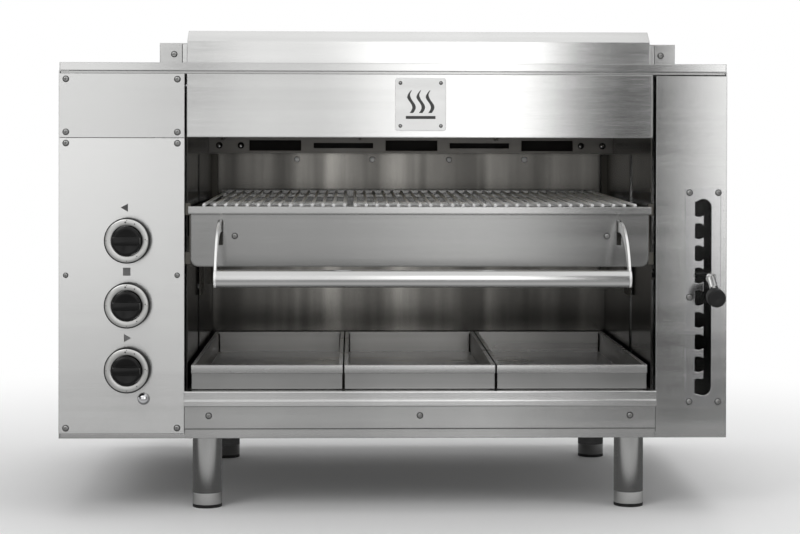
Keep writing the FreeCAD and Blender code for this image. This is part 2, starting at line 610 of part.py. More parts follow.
burner_x = ["(cavity_mid + %d * burner_pitch)" % step for step in (-1, 0, 1)]
tubes = []
lane_y = []
for row in range(3):
    knob_z = "knob_top_z - %d * knob_pitch" % row
    valve_y = "front_y + valve_back + valve_deep / 2"
    riser_x = "knob_x + valve_wide / 2 + tube_bend + %d * tube_riser_pitch" % row
    lane_y.append("(front_y + tube_lane_first + %d * tube_lane_pitch)" % (2 - row))
    route = [("knob_x + valve_wide / 2", valve_y, knob_z), (riser_x + " + tube_radius", valve_y, knob_z),
             (riser_x + " + tube_radius", valve_y, "tube_high"),
             (riser_x + " + tube_radius", lane_y[row], "tube_high"),
             (burner_x[row] + " - injector_wide / 2", lane_y[row], "tube_high")]
    tubes.append(bent_rod("supply_tube_%d" % row, route, "tube_bend", "tube_radius",
                          "tube_radius - liner_gauge"))
keep(group("supply_tubes", tubes), "supply_tubes")

# Burners: a plenum with a recessed set of ceramic tiles, an injector block and a throat
tiles = []
for row, spot in enumerate(("left", "middle", "right")):
    plenum = box("plenum_" + spot, burner_x[row] + " - burner_wide / 2", "front_y + burner_start",
                 "burner_low",
                 "burner_wide", "burner_run", "burner_high")
    recess = box("recess_" + spot, burner_x[row] + " - burner_wide / 2 + tile_border",
                 "front_y + burner_start + tile_border", "burner_low - overrun",
                 "burner_wide - 2 * tile_border", "burner_run - 2 * tile_border", "tile_thick + overrun")
    injector = box("injector_" + spot, burner_x[row] + " - injector_wide / 2",
                   lane_y[row] + " - injector_wide / 2",
                   "burner_low + burner_high", "injector_wide", "injector_wide", "injector_high")
    chamber = box("chamber_" + spot, burner_x[row] + " - burner_wide / 2 + 2 * tile_border",
                  "front_y + burner_start + 2 * tile_border", "burner_low + tile_thick",
                  "burner_wide - 4 * tile_border", "burner_run - 4 * tile_border",
                  "burner_high - tile_thick - skin_gauge")
    throat = rod("throat_" + spot, "Y", burner_x[row], "front_y + burner_start + burner_run",
                 "burner_low + burner_high / 2", "throat_radius", "throat_run")
    keep(cut("burner_" + spot, fuse("burner_solid_" + spot, [plenum, injector, throat]),
             fuse("burner_hollow_" + spot, [recess, chamber])), "burner_" + spot)
    tile_wide = "((burner_wide - 2 * tile_border - (tile_count - 1) * tile_gap) / tile_count)"
    for step in range(int(value("tile_count"))):
        tiles.append(box("tile_%s_%d" % (spot, step),
                         "%s - burner_wide / 2 + tile_border + %d * (%s + tile_gap)" % (burner_x[row], step,
                                                                                        tile_wide),
                         "front_y + burner_start + tile_border", "burner_low", tile_wide,
                         "burner_run - 2 * tile_border", "tile_thick"))
keep(group("ceramic_tiles", tiles), "ceramic_tiles")

bar_y = "(front_y + frame_bar_depth)"
bars = [box("frame_rear_bar", "cavity_left", bar_y, "frame_bar_low", "cavity_wide", "frame_bar_gauge",
            "frame_bar_high"),
        box("frame_rear_ledge", "cavity_left", bar_y + " - frame_ledge", "burner_low - frame_bar_gauge",
            "cavity_wide", "frame_ledge + frame_bar_gauge", "frame_bar_gauge"),
        box("frame_front_ledge", "cavity_left", "front_y + fascia_return", "burner_low - frame_bar_gauge",
            "cavity_wide", "frame_ledge", "frame_bar_gauge"),
        box("frame_left_ledge", "cavity_left", "front_y + fascia_return", "burner_low - frame_bar_gauge",
            "frame_bar_gauge", "frame_bar_depth - fascia_return", "frame_ledge"),
        box("frame_right_ledge", "cavity_right - frame_bar_gauge", "front_y + fascia_return",
            "burner_low - frame_bar_gauge", "frame_bar_gauge", "frame_bar_depth - fascia_return",
            "frame_ledge")]
holes = []
cut_run = "frame_bar_gauge + 2 * overrun"
for step in range(3):
    holes.append(box("frame_window_%d" % step, burner_x[step] + " - window_wide / 2", bar_y + " - overrun",
                     "frame_hole_z - window_high / 2", "window_wide", cut_run, "window_high"))
    holes.append(rod("electrode_hole_%d" % step, "Y", burner_x[step] + " - electrode_offset",
                     bar_y + " - overrun",
                     "electrode_z", "electrode_radius", cut_run))
for step, middle in enumerate(("cavity_mid - burner_pitch / 2", "cavity_mid + burner_pitch / 2")):
    holes.append(box("frame_slot_%d" % step, middle + " - frame_slot_wide / 2", bar_y + " - overrun",
                     "frame_hole_z - frame_slot_high / 2", "frame_slot_wide", cut_run, "frame_slot_high"))
for step, offset in enumerate(("-frame_hole_outer", "-frame_hole_inner", "frame_hole_inner",
                               "frame_hole_outer")):
    holes.append(rod("frame_hole_%d" % step, "Y", "cavity_mid + " + offset, bar_y + " - overrun",
                     "frame_hole_z",
                     "frame_hole_radius", cut_run))
keep(cut("burner_frame", fuse("frame_bars", bars), fuse("frame_holes", holes)), "burner_frame")
keep(group("igniter_electrodes", [
    rod("electrode_%d" % step, "Y", burner_x[step] + " - electrode_offset", "front_y + electrode_start",
        "electrode_z", "electrode_radius", "electrode_run") for step in range(3)]), "igniter_electrodes")


# Cavity: polished side walls with guide slits, back wall, pan shelf
def cavity_wall(label, x, lane_holes):
    high = "(panel_top_z - leg_high - skin_gauge)"
    sheet = box(label + "_sheet", x, "front_y + wall_start", "leg_high + skin_gauge", "liner_gauge",
                "wall_run - wall_start", high)
    through = "liner_gauge + 2 * overrun"
    holes = [box(label + "_slit", x + " - overrun", "pin_y + pin_swing / 2 - slit_wide / 2", "slit_low",
                 through,
                 "slit_wide", "slit_high"),
             rod(label + "_shaft_hole", "X", x + " - overrun", "shaft_y", "shaft_z",
                 "shaft_radius + running_gap",
                 through)]
    for step, lane in enumerate(lane_holes):
        holes.append(rod("%s_tube_hole_%d" % (label, step), "X", x + " - overrun", lane, "tube_high",
                         "tube_radius + running_gap", through))
    keep(cut(label, sheet, fuse(label + "_holes", holes)), label)


cavity_wall("cavity_left_wall", "cavity_left - liner_gauge", lane_y)
cavity_wall("cavity_right_wall", "cavity_right", [])
wall_low = "(sill_z - shelf_gauge)"
keep(box("cavity_back_wall", "cavity_left", "front_y + cavity_deep", wall_low, "cavity_wide", "liner_gauge",
         "panel_top_z - " + wall_low), "cavity_back_wall")
keep(box("pan_shelf", "cavity_left", "front_y + rail_deep", wall_low, "cavity_wide",
         "cavity_deep - rail_deep",
         "shelf_gauge"), "pan_shelf")

guides = []
for side, wall_x, flange_x in (("left", "cavity_left", "cavity_left"),
                               ("right", "cavity_right - guide_gauge", "cavity_right - guide_wide")):
    guide_y = "front_y + cross_start + cross_deep + guide_play"
    flange = box("guide_flange_" + side, flange_x, guide_y, "guide_low", "guide_wide", "guide_gauge",
                 "guide_high")
    web = box("guide_web_" + side, wall_x, guide_y, "guide_low", "guide_gauge",
              "cavity_deep - cross_start - cross_deep - guide_play", "guide_high")
    guides.append(fuse("guide_" + side, [flange, web]))
keep(group("rack_guides", guides), "rack_guides")

# Lift: a shaft across the back, two arms in the side housings, a lever at the right
bearings = []
for side, x in (("left", "cavity_left - liner_gauge - bearing_long"),
                ("right", "cavity_right + liner_gauge")):
    ring = rod("bearing_ring_" + side, "X", x, "shaft_y", "shaft_z", "bearing_radius", "bearing_long")
    bore = rod("bearing_bore_" + side, "X", x + " - overrun", "shaft_y", "shaft_z",
               "shaft_radius + shaft_play",
               "bearing_long + 2 * overrun")
    bearings.append(cut("bearing_" + side, ring, bore))
keep(group("shaft_bearings", bearings), "shaft_bearings")

shaft_left = "(left_arm_x - arm_gauge)"
eye_y = "(shaft_y - yoke_deep)"
ear_gap = "(lever_hub_long / 2 + running_gap)"
half_yoke = "(lever_hub_long / 2 + running_gap + yoke_pin)"
shaft_parts = [
    rod("shaft_bar", "X", shaft_left, "shaft_y", "shaft_z", "shaft_radius", "lever_x - " + shaft_left),
    box("yoke_boss", "lever_x - lever_hub_long / 2", "shaft_y - hub_radius", "shaft_z - " + half_yoke,
        "lever_hub_long", "2 * hub_radius", "2 * " + half_yoke),
    rod("yoke_pin_bar", "Z", "lever_x", eye_y, "shaft_z - " + half_yoke, "yoke_pin", "2 * " + half_yoke)]
for side, low in (("top", "shaft_z + " + ear_gap), ("bottom", "shaft_z - " + half_yoke)):
    shaft_parts.append(box("yoke_ear_" + side, "lever_x - lever_hub_long / 2",
                           eye_y + " - lever_hub_long / 2", low,
                           "lever_hub_long", "yoke_deep", "yoke_pin"))
keep(fuse("lift_shaft", shaft_parts), "lift_shaft")

arms = []
for side, x, pin_x in (("left", "left_arm_x", "left_arm_x"),
                       ("right", "right_arm_x", "rack_right + running_gap")):
    pin_long = "rack_left - running_gap - left_arm_x" if side == "left" else (
        "right_arm_x + arm_gauge - rack_right - running_gap")
    solid = fuse("arm_solid_" + side, [
        box("arm_bar_" + side, x, "pin_y", "shaft_z - arm_high / 2", "arm_gauge", "arm_long", "arm_high"),
        rod("arm_nose_" + side, "X", x, "pin_y", "shaft_z", "arm_high / 2", "arm_gauge"),
        rod("arm_hub_" + side, "X", x, "shaft_y", "shaft_z", "hub_radius", "arm_gauge"),
        rod("arm_pin_" + side, "X", pin_x, "pin_y", "shaft_z", "pin_radius", pin_long)])
    bore = rod("arm_bore_" + side, "X", x + " - overrun", "shaft_y", "shaft_z", "shaft_radius",
               "arm_gauge + 2 * overrun")
    arms.append(cut("arm_" + side, solid, bore))
keep(group("lift_arms", arms), "lift_arms")

rise_share = "((rest_notch_z - shaft_z) / (shaft_depth - yoke_deep))"
bend_z = "(rest_notch_z + lever_bend * %s)" % rise_share
tip_z = "(%s - (lever_reach - lever_bend) * lever_drop_share)" % bend_z
bar = bent_rod("lever_bar", [("lever_x", eye_y, "shaft_z"), ("lever_x", "front_y - lever_bend", bend_z),
                             ("lever_x", "front_y - lever_reach", tip_z)], "3 * lever_radius", "lever_radius")
eye = rod("lever_eye", "Z", "lever_x", eye_y, "shaft_z - lever_hub_long / 2", "lever_hub_long / 2",
          "lever_hub_long")
eye_bore = rod("lever_eye_bore", "Z", "lever_x", eye_y, "shaft_z - lever_hub_long", "yoke_pin + shaft_play",
               "2 * lever_hub_long")
lean = math.degrees(math.atan(value("lever_drop_share")))


def on_lever(name, start, radius, length):
    """A round piece on the sloping end of the lever, start from the bend."""
    item = doc.addObject("Part::Cylinder", name)
    item.Placement.Rotation = FreeCAD.Rotation(FreeCAD.Vector(1, 0, 0), 90 + lean)
    bind(item, Radius=radius, Height=length)
    run_share = "cos(atan(lever_drop_share))"
    place(item, "lever_x", "front_y - lever_bend - (%s) * %s" % (start, run_share),
          "%s - (%s) * %s * lever_drop_share" % (bend_z, start, run_share))
    return item


sleeve = on_lever("lever_sleeve", "sleeve_start", "sleeve_radius", "sleeve_long")
collar = on_lever("lever_collar", "sleeve_start - collar_long", "collar_radius", "collar_long")
keep(cut("lever_rod", fuse("lever_solid", [bar, eye, sleeve, collar]), eye_bore), "lever_rod")
lever_end = "(lever_reach - lever_bend) / cos(atan(lever_drop_share))"
cap_start = "sleeve_start + sleeve_long"
cap_solid = on_lever("cap_solid", cap_start, "cap_radius", "cap_long")
cap_bore = on_lever("cap_bore", cap_start + " - overrun", "lever_radius",
                    "overrun + %s - sleeve_start - sleeve_long" % lever_end)
cap_cut = cut("cap_drilled", cap_solid, cap_bore)
cap = doc.addObject("Part::Fillet", "lever_cap")
cap.Base = cap_cut
doc.recompute()
cap.Edges = [(i + 1, value("grip_round"), value("grip_round")) for i, edge in enumerate(cap_cut.Shape.Edges)
             if edge.Curve.TypeId == "Part::GeomCircle" and edge.Curve.Radius > value("sleeve_radius")]
keep(cap, "lever_cap")

# Carriage: two cheeks in the cavity joined across the back, lifted by the arm pins
carriage = []
slots = []
blocks = []
for side, x, inward, outward in (
        ("left", "cavity_left + cheek_gap", "rack_left", "cavity_left - guide_block_jut"),
        ("right", "rack_right", "rack_right - ledge_wide", "rack_right + cheek_gauge")):
    keeper_x = inward if side == "left" else "rack_right - keeper_wide"
    run = "cross_start + cross_deep - cheek_start"
    carriage += [
        box("cheek_" + side, x, "front_y + cheek_start", "cheek_low", "cheek_gauge", run,
            "cheek_top - cheek_low"),
        box("pin_plate_" + side, x, "front_y + pin_plate_start", "pin_plate_low", "cheek_gauge",
            "pin_plate_wide",
            "cheek_top - pin_plate_low"),
        box("guide_post_" + side, x, "front_y + cheek_start", "guide_block_low", "cheek_gauge",
            "guide_block_deep",
            "guide_block_top + guide_block_high - guide_block_low"),
        box("ledge_" + side, inward, "front_y + cheek_start", "ledge_z", "ledge_wide", run, "cheek_gauge"),
        box("keeper_" + side, keeper_x, "front_y + cheek_start", "cheek_top - cheek_gauge", "keeper_wide",
            run + " - cross_deep - bar_wide", "cheek_gauge")]
    block_wide = "cheek_gap + guide_block_jut"
    for level in ("guide_block_low", "guide_block_top"):
        carriage.append(box("%s_%s" % (level, side), outward, "front_y + cheek_start", level, block_wide,
                            "guide_block_deep", "guide_block_high"))
    slots.append(box("pin_slot_" + side, x + " - overrun", "pin_y - pin_radius - pin_play",
                     "shaft_z - pin_radius - pin_play", "cheek_gauge + 2 * overrun",
                     "2 * pin_radius + 2 * pin_play + pin_swing", "2 * pin_radius + 2 * pin_play"))
carriage.append(box("carriage_cross", "cavity_left + cheek_gap", "front_y + cross_start", "cheek_low",
                    "cavity_wide - 2 * cheek_gap", "cross_deep", "cheek_top - cheek_low"))
keep(cut("carriage", fuse("carriage_solid", carriage), fuse("carriage_slots", slots)), "carriage")

# Rack drawer: frame, apron, handle and three wire grids
frame_wide = "(frame_right - frame_left)"
frame_y = "front_y + frame_front"
frame_back = "front_y + frame_front + frame_run - bar_wide"
keep(fuse("rack_frame", [
    box("frame_side_left", "frame_left", frame_y, "frame_low", "bar_wide", "frame_run", "bar_high"),
    box("frame_side_right", "frame_right - bar_wide", frame_y, "frame_low", "bar_wide", "frame_run",
        "bar_high"),
    box("frame_front_bar", "frame_left", frame_y, "frame_low", frame_wide, "bar_wide", "bar_high"),
    box("frame_back_bar", "frame_left", frame_back, "frame_low", frame_wide, "bar_wide", "bar_high"),
    box("frame_back_rise", "frame_left + bar_wide", frame_back, "frame_low", frame_wide + " - 2 * bar_wide",
        "bar_wide", "bar_high + grid_rise"),
    box("frame_upstand", "frame_left + bar_wide", "front_y + frame_front + frame_run - cheek_gauge",
        "frame_low", frame_wide + " - 2 * bar_wide", "cheek_gauge", "upstand_top - frame_low")]), "rack_frame")

apron_wide = "(cavity_wide - 2 * apron_inset)"
apron = body("rack_apron", "cavity_left + apron_inset", "front_y", "apron_low")
profile = sketch(apron, "apron_blank", "XZ")
rectangle(profile, "0", "0", apron_wide, "lip_low + lip_high - apron_low")
blank = pad(apron, profile, "frame_front", back=True)
low_corner = soften(apron, blank, "apron_corner",
                    lambda edge: runs_along(edge, "y") and edge.Vertexes[0].Z < 1)
profile = sketch(apron, "apron_hollow", "XZ", "-skin_gauge")
rectangle(profile, "-overrun", "-overrun", apron_wide + " + 2 * overrun", "frame_low - apron_low + overrun")
pocket(apron, profile, "frame_front")
profile = sketch(apron, "apron_lip", "XZ")
rectangle(profile, "lip_inset - apron_inset", "lip_low - apron_low", "cavity_wide - 2 * lip_inset",
          "lip_high")
pad(apron, profile, "lip_reach")
profile = sketch(apron, "apron_slots", "XZ", "overrun")
for x in ("arm_left_x", "arm_right_x"):
    rectangle(profile, x + " - cavity_left - apron_inset - (arm_slot_wide - blade_gauge) / 2",
              "arm_slot_low - apron_low", "arm_slot_wide", "arm_slot_high")
pocket(apron, profile, "2 * overrun + skin_gauge")
keep(apron, "rack_apron")

bend_y = "front_y - handle_reach + handle_bend"
blades = []
for side, x in (("left", "arm_left_x"), ("right", "arm_right_x")):
    ring = cut("blade_ring_" + side,
               rod("blade_outer_" + side, "X", x, bend_y, "blade_z", "handle_bend + blade_wide / 2",
                   "blade_gauge"),
               rod("blade_inner_" + side, "X", x + " - overrun", bend_y, "blade_z",
                   "handle_bend - blade_wide / 2", "blade_gauge + 2 * overrun"))
    quarter = box("blade_quarter_" + side, x, bend_y + " - 2 * handle_bend", "handle_z", "blade_gauge",
                  "2 * handle_bend", "2 * handle_bend")
    tail = box("blade_tail_" + side, x, bend_y, "blade_z + handle_bend - blade_wide / 2", "blade_gauge",
               "handle_reach - handle_bend + frame_front + bar_wide", "blade_wide")
    lug = box("blade_lug_" + side, x, "front_y + frame_front", "blade_z + handle_bend", "blade_gauge",
              "bar_wide", "frame_low - blade_z - handle_bend")
    nose = rod("blade_nose_" + side, "X", x, "front_y - handle_reach", "handle_z", "handle_radius",
               "blade_gauge")
    blades.append(fuse("blade_" + side, [common("blade_arc_" + side, ring, quarter), tail, lug, nose]))
keep(group("handle_arms", blades), "handle_arms")
tube_long = "arm_right_x - arm_left_x - blade_gauge"
tube = rod("handle_tube_outer", "X", "arm_left_x + blade_gauge", "front_y - handle_reach", "handle_z",
           "handle_radius", tube_long)
bore = rod("handle_tube_bore", "X", "arm_left_x + blade_gauge + overrun", "front_y - handle_reach",
           "handle_z",
           "handle_radius - handle_wall", tube_long + " - 2 * overrun")
keep(cut("handle_tube", tube, bore), "handle_tube")

# The grids rise towards the back, so that fat runs forwards
grid_lean = math.degrees(math.atan(value("grid_rise / (cross_rod_last - cross_rod_first)")))
grid_hinge = FreeCAD.Vector(0, value("front_y + cross_rod_first"), value("frame_top"))
grid_turn = FreeCAD.Rotation(FreeCAD.Vector(1, 0, 0), grid_lean)
first_wire = 0
for spot, share in (("left", "side_wires"), ("middle", "middle_wires"), ("right", "side_wires")):
    wires = int(value(share))
    bars = []
    for step in range(first_wire, first_wire + wires):
        bars.append(rod("wire_%d" % step, "Y", "wire_left + %d * wire_pitch" % step, "front_y + wire_start",
                        "wire_z", "wire_radius", "wire_run"))
    for depth in ("cross_rod_first", "cross_rod_second", "cross_rod_last"):
        bars.append(rod("%s_%s" % (depth, spot), "X",
                        "wire_left + %d * wire_pitch - grid_overhang" % first_wire,
                        "front_y + " + depth,
                        "frame_top + cross_rod_radius", "cross_rod_radius",
                        "(%s - 1) * wire_pitch + 2 * grid_overhang" % share))
    grid = fuse("grid_" + spot, bars)
    grid.Placement = FreeCAD.Placement(FreeCAD.Vector(), grid_turn, grid_hinge)
    keep(grid, "grid_" + spot)
    first_wire += wires

# Drip pans
for step, spot in enumerate(("left", "middle", "right")):
    pan = body("drip_pan_" + spot, "cavity_left + pan_side_gap + %d * (pan_wide + pan_gap)" % step,
               "front_y + pan_start", "pan_z")
    profile = sketch(pan, "pan_blank_" + spot, "XY")
    rectangle(profile, "pan_rim", "pan_rim", "pan_wide - 2 * pan_rim", "pan_run - 2 * pan_rim")
    tub = pad(pan, profile, "pan_high")
    soften(pan, tub, "pan_corner", lambda edge: runs_along(edge, "z"))
    profile = sketch(pan, "pan_rim_" + spot, "XY", "pan_high - pan_rim_high")
    rectangle(profile, "0", "0", "pan_wide", "pan_run")
    pad(pan, profile, "pan_rim_high")
    profile = sketch(pan, "pan_hollow_" + spot, "XY", "pan_high")
    inset = "(pan_rim + pan_gauge)"
    rectangle(profile, inset, inset, "pan_wide - 2 * " + inset, "pan_run - 2 * " + inset)
    pocket(pan, profile, "pan_high - pan_gauge")
    keep(pan, "drip_pan_" + spot)

# Flue on the lid: an open box and a leaning deflector in front of it
flue_x = "(cavity_mid - flue_wide / 2)"
flue = cut("flue_walls", box("flue_outer", flue_x, "front_y + flue_start", "top_z", "flue_wide", "flue_run",
                             "flue_high"),
           box("flue_inner", flue_x + " + skin_gauge", "front_y + flue_start + skin_gauge", "top_z - overrun",
               "flue_wide - 2 * skin_gauge", "flue_run - 2 * skin_gauge", "flue_high + 2 * overrun"))
keep(flue, "flue_box")

deflector = body("flue_deflector", "cavity_mid - deflector_wide / 2", "front_y + deflector_start", "top_z")
profile = sketch(deflector, "deflector_section", "YZ")
outline(profile, [("0", "0"), ("flange_wide", "0"), ("flange_wide", "skin_gauge"),
                  ("skin_gauge", "skin_gauge"),
                  ("skin_gauge", "deflector_high"), ("deflector_lean + skin_gauge", "deflector_top"),
                  ("deflector_lean", "deflector_top"), ("0", "deflector_high")])
pad(deflector, profile, "deflector_wide")
for side, lift in (("left", "0"), ("right", "deflector_wide - skin_gauge")):
    profile = sketch(deflector, "deflector_end_" + side, "YZ", lift)
    rectangle(profile, "0", "0", "flue_start - deflector_start", "flue_high")
    pad(deflector, profile, "skin_gauge")
keep(deflector, "flue_deflector")

# Legs with levelling feet
legs = []
for side, x in (("left", "cavity_mid - leg_spread"), ("right", "cavity_mid + leg_spread")):
    for end, depth in (("front", "leg_front"), ("rear", "leg_back")):
        name = end + "_" + side
        y = "front_y + " + depth
        low = "(foot_pad + running_gap)"
        legs.append(cut("leg_" + name, rod("leg_outer_" + name, "Z", x, y, low, "leg_radius",
                                           "leg_high - " + low),
                        rod("leg_bore_" + name, "Z", x, y, "0", "leg_radius - leg_wall",
                            "leg_high - leg_plate")))
        keep(fuse("foot_" + name, [
            rod("foot_pad_" + name, "Z", x, y, "0", "leg_radius", "foot_pad"),
            rod("foot_plug_" + name, "Z", x, y, "foot_pad", "leg_radius - leg_wall - running_gap",
                "foot_plug")]),
             "foot_" + name)
keep(group("legs", legs), "legs")

# Screw and rivet heads on the fronts
heads = []


def head(x, face_y, z, radius="screw_radius"):
    heads.append(rod("head_%d" % len(heads), "Y", x, face_y + " - screw_head", z, radius, "screw_head"))


for x in ("left_x + screw_inset_x", "left_fold_x - screw_inset_x"):
    for z in (upper_low + " + screw_inset_z", "panel_top_z - screw_inset_z", upper_low + " - screw_inset_z",
              panel_low + " + screw_inset_z"):
        head(x, "front_y", z)
    head(x, "front_y", "(%s + %s) / 2 + mid_screw_rise" % (upper_low, panel_low), "mid_screw_radius")
for offset in ("-lower_screw_x", "0", "lower_screw_x"):
    head("cavity_mid + " + offset, "front_y - badge_gauge", "leg_high + lower_screw_z")
for x in ("index_x + screw_radius + index_gauge", "index_x + index_wide - screw_radius"):
    for z in ("screw_radius + index_gauge", "index_high / 2", "index_high - screw_radius - index_gauge"):
        head(x, "front_y - index_gauge", "leg_high + index_low + " + z)
for across in ("-badge_rivet_x", "badge_rivet_x"):
    for up in ("-badge_rivet_z", "badge_rivet_z"):
        head("cavity_mid + " + across, "front_y - badge_gauge", "badge_z + " + up, "rivet_radius")
for offset in ("-flue_wide / 2 + bracket_wide", "flue_wide / 2 - bracket_wide"):
    head("cavity_mid + " + offset, "front_y + flue_start", "top_z + flue_high / 2")
keep(group("panel_screws", heads), "panel_screws")

# Check everything, then write one file for each sub-part
doc.recompute()
failed = [item.Name for item in doc.Objects if "Invalid" in item.State or "Error" in item.State]
failed += [item.Label for item in subparts if item.Shape.isNull() or not item.Shape.isValid()]
if failed:
    raise RuntimeError("failed: " + ", ".join(failed))
os.makedirs("parts", exist_ok=True)
for item in subparts:
    item.Shape.exportStep(os.path.join("parts", item.Label + ".step"))
print(len(subparts), "sub-parts written")
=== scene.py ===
import math

import bmesh
import bpy
from mathutils import Matrix, Vector


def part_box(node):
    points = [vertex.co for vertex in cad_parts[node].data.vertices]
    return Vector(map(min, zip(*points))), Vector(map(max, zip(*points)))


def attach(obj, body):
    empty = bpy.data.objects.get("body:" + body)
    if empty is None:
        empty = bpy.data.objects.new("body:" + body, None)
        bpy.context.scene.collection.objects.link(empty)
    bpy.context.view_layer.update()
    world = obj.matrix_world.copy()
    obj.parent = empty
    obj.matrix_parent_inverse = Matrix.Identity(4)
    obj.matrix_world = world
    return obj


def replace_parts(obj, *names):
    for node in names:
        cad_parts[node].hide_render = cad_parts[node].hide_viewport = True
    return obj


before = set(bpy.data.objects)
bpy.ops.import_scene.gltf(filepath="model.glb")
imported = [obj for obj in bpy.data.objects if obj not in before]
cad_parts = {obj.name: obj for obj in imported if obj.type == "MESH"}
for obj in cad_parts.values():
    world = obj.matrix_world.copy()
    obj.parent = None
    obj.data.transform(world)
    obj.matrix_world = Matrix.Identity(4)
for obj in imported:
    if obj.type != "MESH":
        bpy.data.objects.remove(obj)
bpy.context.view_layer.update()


# Shader helpers. Lengths are metres everywhere in this script, the front faces -Y, and a material
# takes its place in the object's own coordinates, so that its pattern moves with its piece.
def linear(colour):
    """The shader value of a colour written as #rrggbb."""
    shares = [int(colour[i:i + 2], 16) / 255 for i in (1, 3, 5)]
    return [s / 12.92 if s <= 0.04045 else ((s + 0.055) / 1.055) ** 2.4 for s in shares] + [1]


def add(tree, kind, inputs=None, **settings):
    """Adds a shader node. An input that is given a socket is linked to it, any other one is set."""
    made = tree.nodes.new("ShaderNode" + kind)
    for name, value in settings.items():
        setattr(made, name, value)
    for name, value in (inputs or {}).items():
        if isinstance(value, bpy.types.NodeSocket):
            tree.links.new(value, made.inputs[name])
        else:
            made.inputs[name].default_value = value
    return made


def reckon(tree, operation, *values):
    """The result of a sum, product or other calculation with one or two values."""
    return add(tree, "Math", dict(enumerate(values)), operation=operation).outputs[0]


def ranged(tree, value, low, high, low_out, high_out, **settings):
    """Turns a value between low and high into one between low_out and high_out."""
    return add(tree, "MapRange", {"Value": value, "From Min": low, "From Max": high,
                                  "To Min": low_out, "To Max": high_out}, **settings).outputs[0]


def noise(tree, spot, detail, scale=1.0, stretch=None, shift=(0, 0, 0)):
    """Soft noise between 0 and 1. Stretch, if given, scales each axis by itself."""
    if stretch:
        spot = add(tree, "Mapping", {"Vector": spot, "Scale": stretch, "Location": shift}).outputs[0]
    return add(tree, "TexNoise", {"Vector": spot, "Scale": scale, "Detail": detail}).outputs["Fac"]


def axis_of(tree, spot, axis):
    """One coordinate of a place or direction."""
    return add(tree, "SeparateXYZ", {0: spot}).outputs[axis]


def tinted(tree, tone, shade):
    """A colour written as #rrggbb, made lighter or darker by a factor."""
    return add(tree, "VectorMath", {0: linear(tone)[:3], "Scale": shade}, operation="SCALE").outputs[0]


def blank_material(name):
    """A new material, its empty node tree and the place on its object."""
    material = bpy.data.materials.new(name)
    material.use_nodes = True
    tree = material.node_tree
    tree.nodes.clear()
    return material, tree, add(tree, "TexCoord").outputs["Object"]


def placed(name, shape, finish):
    """Turns a bmesh into an object of the scene with one finish."""
    mesh = bpy.data.meshes.new(name)
    shape.to_mesh(mesh)
    shape.free()
    mesh.materials.append(finish)
    thing = bpy.data.objects.new(name, mesh)
    bpy.context.scene.collection.objects.link(thing)
    return thing


# The photo studio: a pale floor that runs out into a white room between 0.6 and 1.5 m from its
# middle. The camera and mirror images see the room white, but it lights the grill at half of that.
def seen_directly(tree):
    """1 where the camera, or a mirror image or a view through glass, meets this surface."""
    path = add(tree, "LightPath").outputs
    either = reckon(tree, "MAXIMUM", path["Is Camera Ray"], path["Is Glossy Ray"])
    return reckon(tree, "MAXIMUM", either, path["Is Transmission Ray"])


room = bpy.data.worlds.new("white_room")
bpy.context.scene.world = room
room.use_nodes = True
air = room.node_tree
air.nodes.clear()
white_wall = add(air, "Background", {"Color": linear("#ffffff"), "Strength": 1.0})
soft_fill = add(air, "Background", {"Color": linear("#ffffff"), "Strength": 0.5})
both = add(air, "MixShader", {0: seen_directly(air), 1: soft_fill.outputs[0], 2: white_wall.outputs[0]})
add(air, "OutputWorld", {"Surface": both.outputs[0]})

floor_paint, tree, spot = blank_material("pale_floor")
distance = add(tree, "VectorMath", {0: spot}, operation="LENGTH").outputs["Value"]
fade = ranged(tree, distance, 0.6, 1.5, 0.0, 1.0, interpolation_type="SMOOTHSTEP")
share = reckon(tree, "MULTIPLY", fade, seen_directly(tree))
matt = add(tree, "BsdfDiffuse", {"Color": linear("#f4f4f4")})
glow = add(tree, "Emission", {"Color": linear("#ffffff"), "Strength": 1.0})
ground = add(tree, "MixShader", {0: share, 1: matt.outputs[0], 2: glow.outputs[0]})
add(tree, "OutputMaterial", {"Surface": ground.outputs[0]})
disc = bmesh.new()
bmesh.ops.create_circle(disc, cap_ends=True, segments=96, radius=14.0)
placed("studio_floor", disc, floor_paint)


# Large cards of uneven brightness stand in front, below, above and at the corners. Only mirror
# images show them. They give the brushed steel the gradients that it has in the photo.
def card(name, corners, glow, across="X"):
    """A large card that only mirror images show. Glow lists its brightness along one axis. The ramp
    can't hold more than 1, so it holds a share of gain, and the light is as strong as gain."""
    gain = 4.0
    paint, tree, spot = blank_material(name)
    first, last = glow[0][0], glow[-1][0]
    share = ranged(tree, axis_of(tree, spot, across), first, last, 0.0, 1.0)
    ramp = add(tree, "ValToRGB", {"Fac": share})
    ramp.color_ramp.interpolation = "EASE"
    stops = ramp.color_ramp.elements
    for at, level in glow:
        along = (at - first) / (last - first)
        if at == first:
            stop = stops[0]
        elif at == last:
            stop = stops[-1]
        else:
            stop = stops.new(along)
        stop.position = along
        stop.color = (level / gain, level / gain, level / gain, 1)
    light = add(tree, "Emission", {"Color": ramp.outputs[0], "Strength": gain})
    add(tree, "OutputMaterial", {"Surface": light.outputs[0]})
    flat = bmesh.new()
    flat.faces.new([flat.verts.new(corner) for corner in corners])
    holder = placed(name, flat, paint)
    holder.visible_camera = False
    holder.visible_diffuse = False
    holder.visible_shadow = False
    holder.visible_transmission = False
    holder.visible_volume_scatter = False


def card_corners(left, right, near, far):
    """The corners of a card from left to right, between two (y, z) edges."""
    return [(left, *near), (right, *near), (right, *far), (left, *far)]


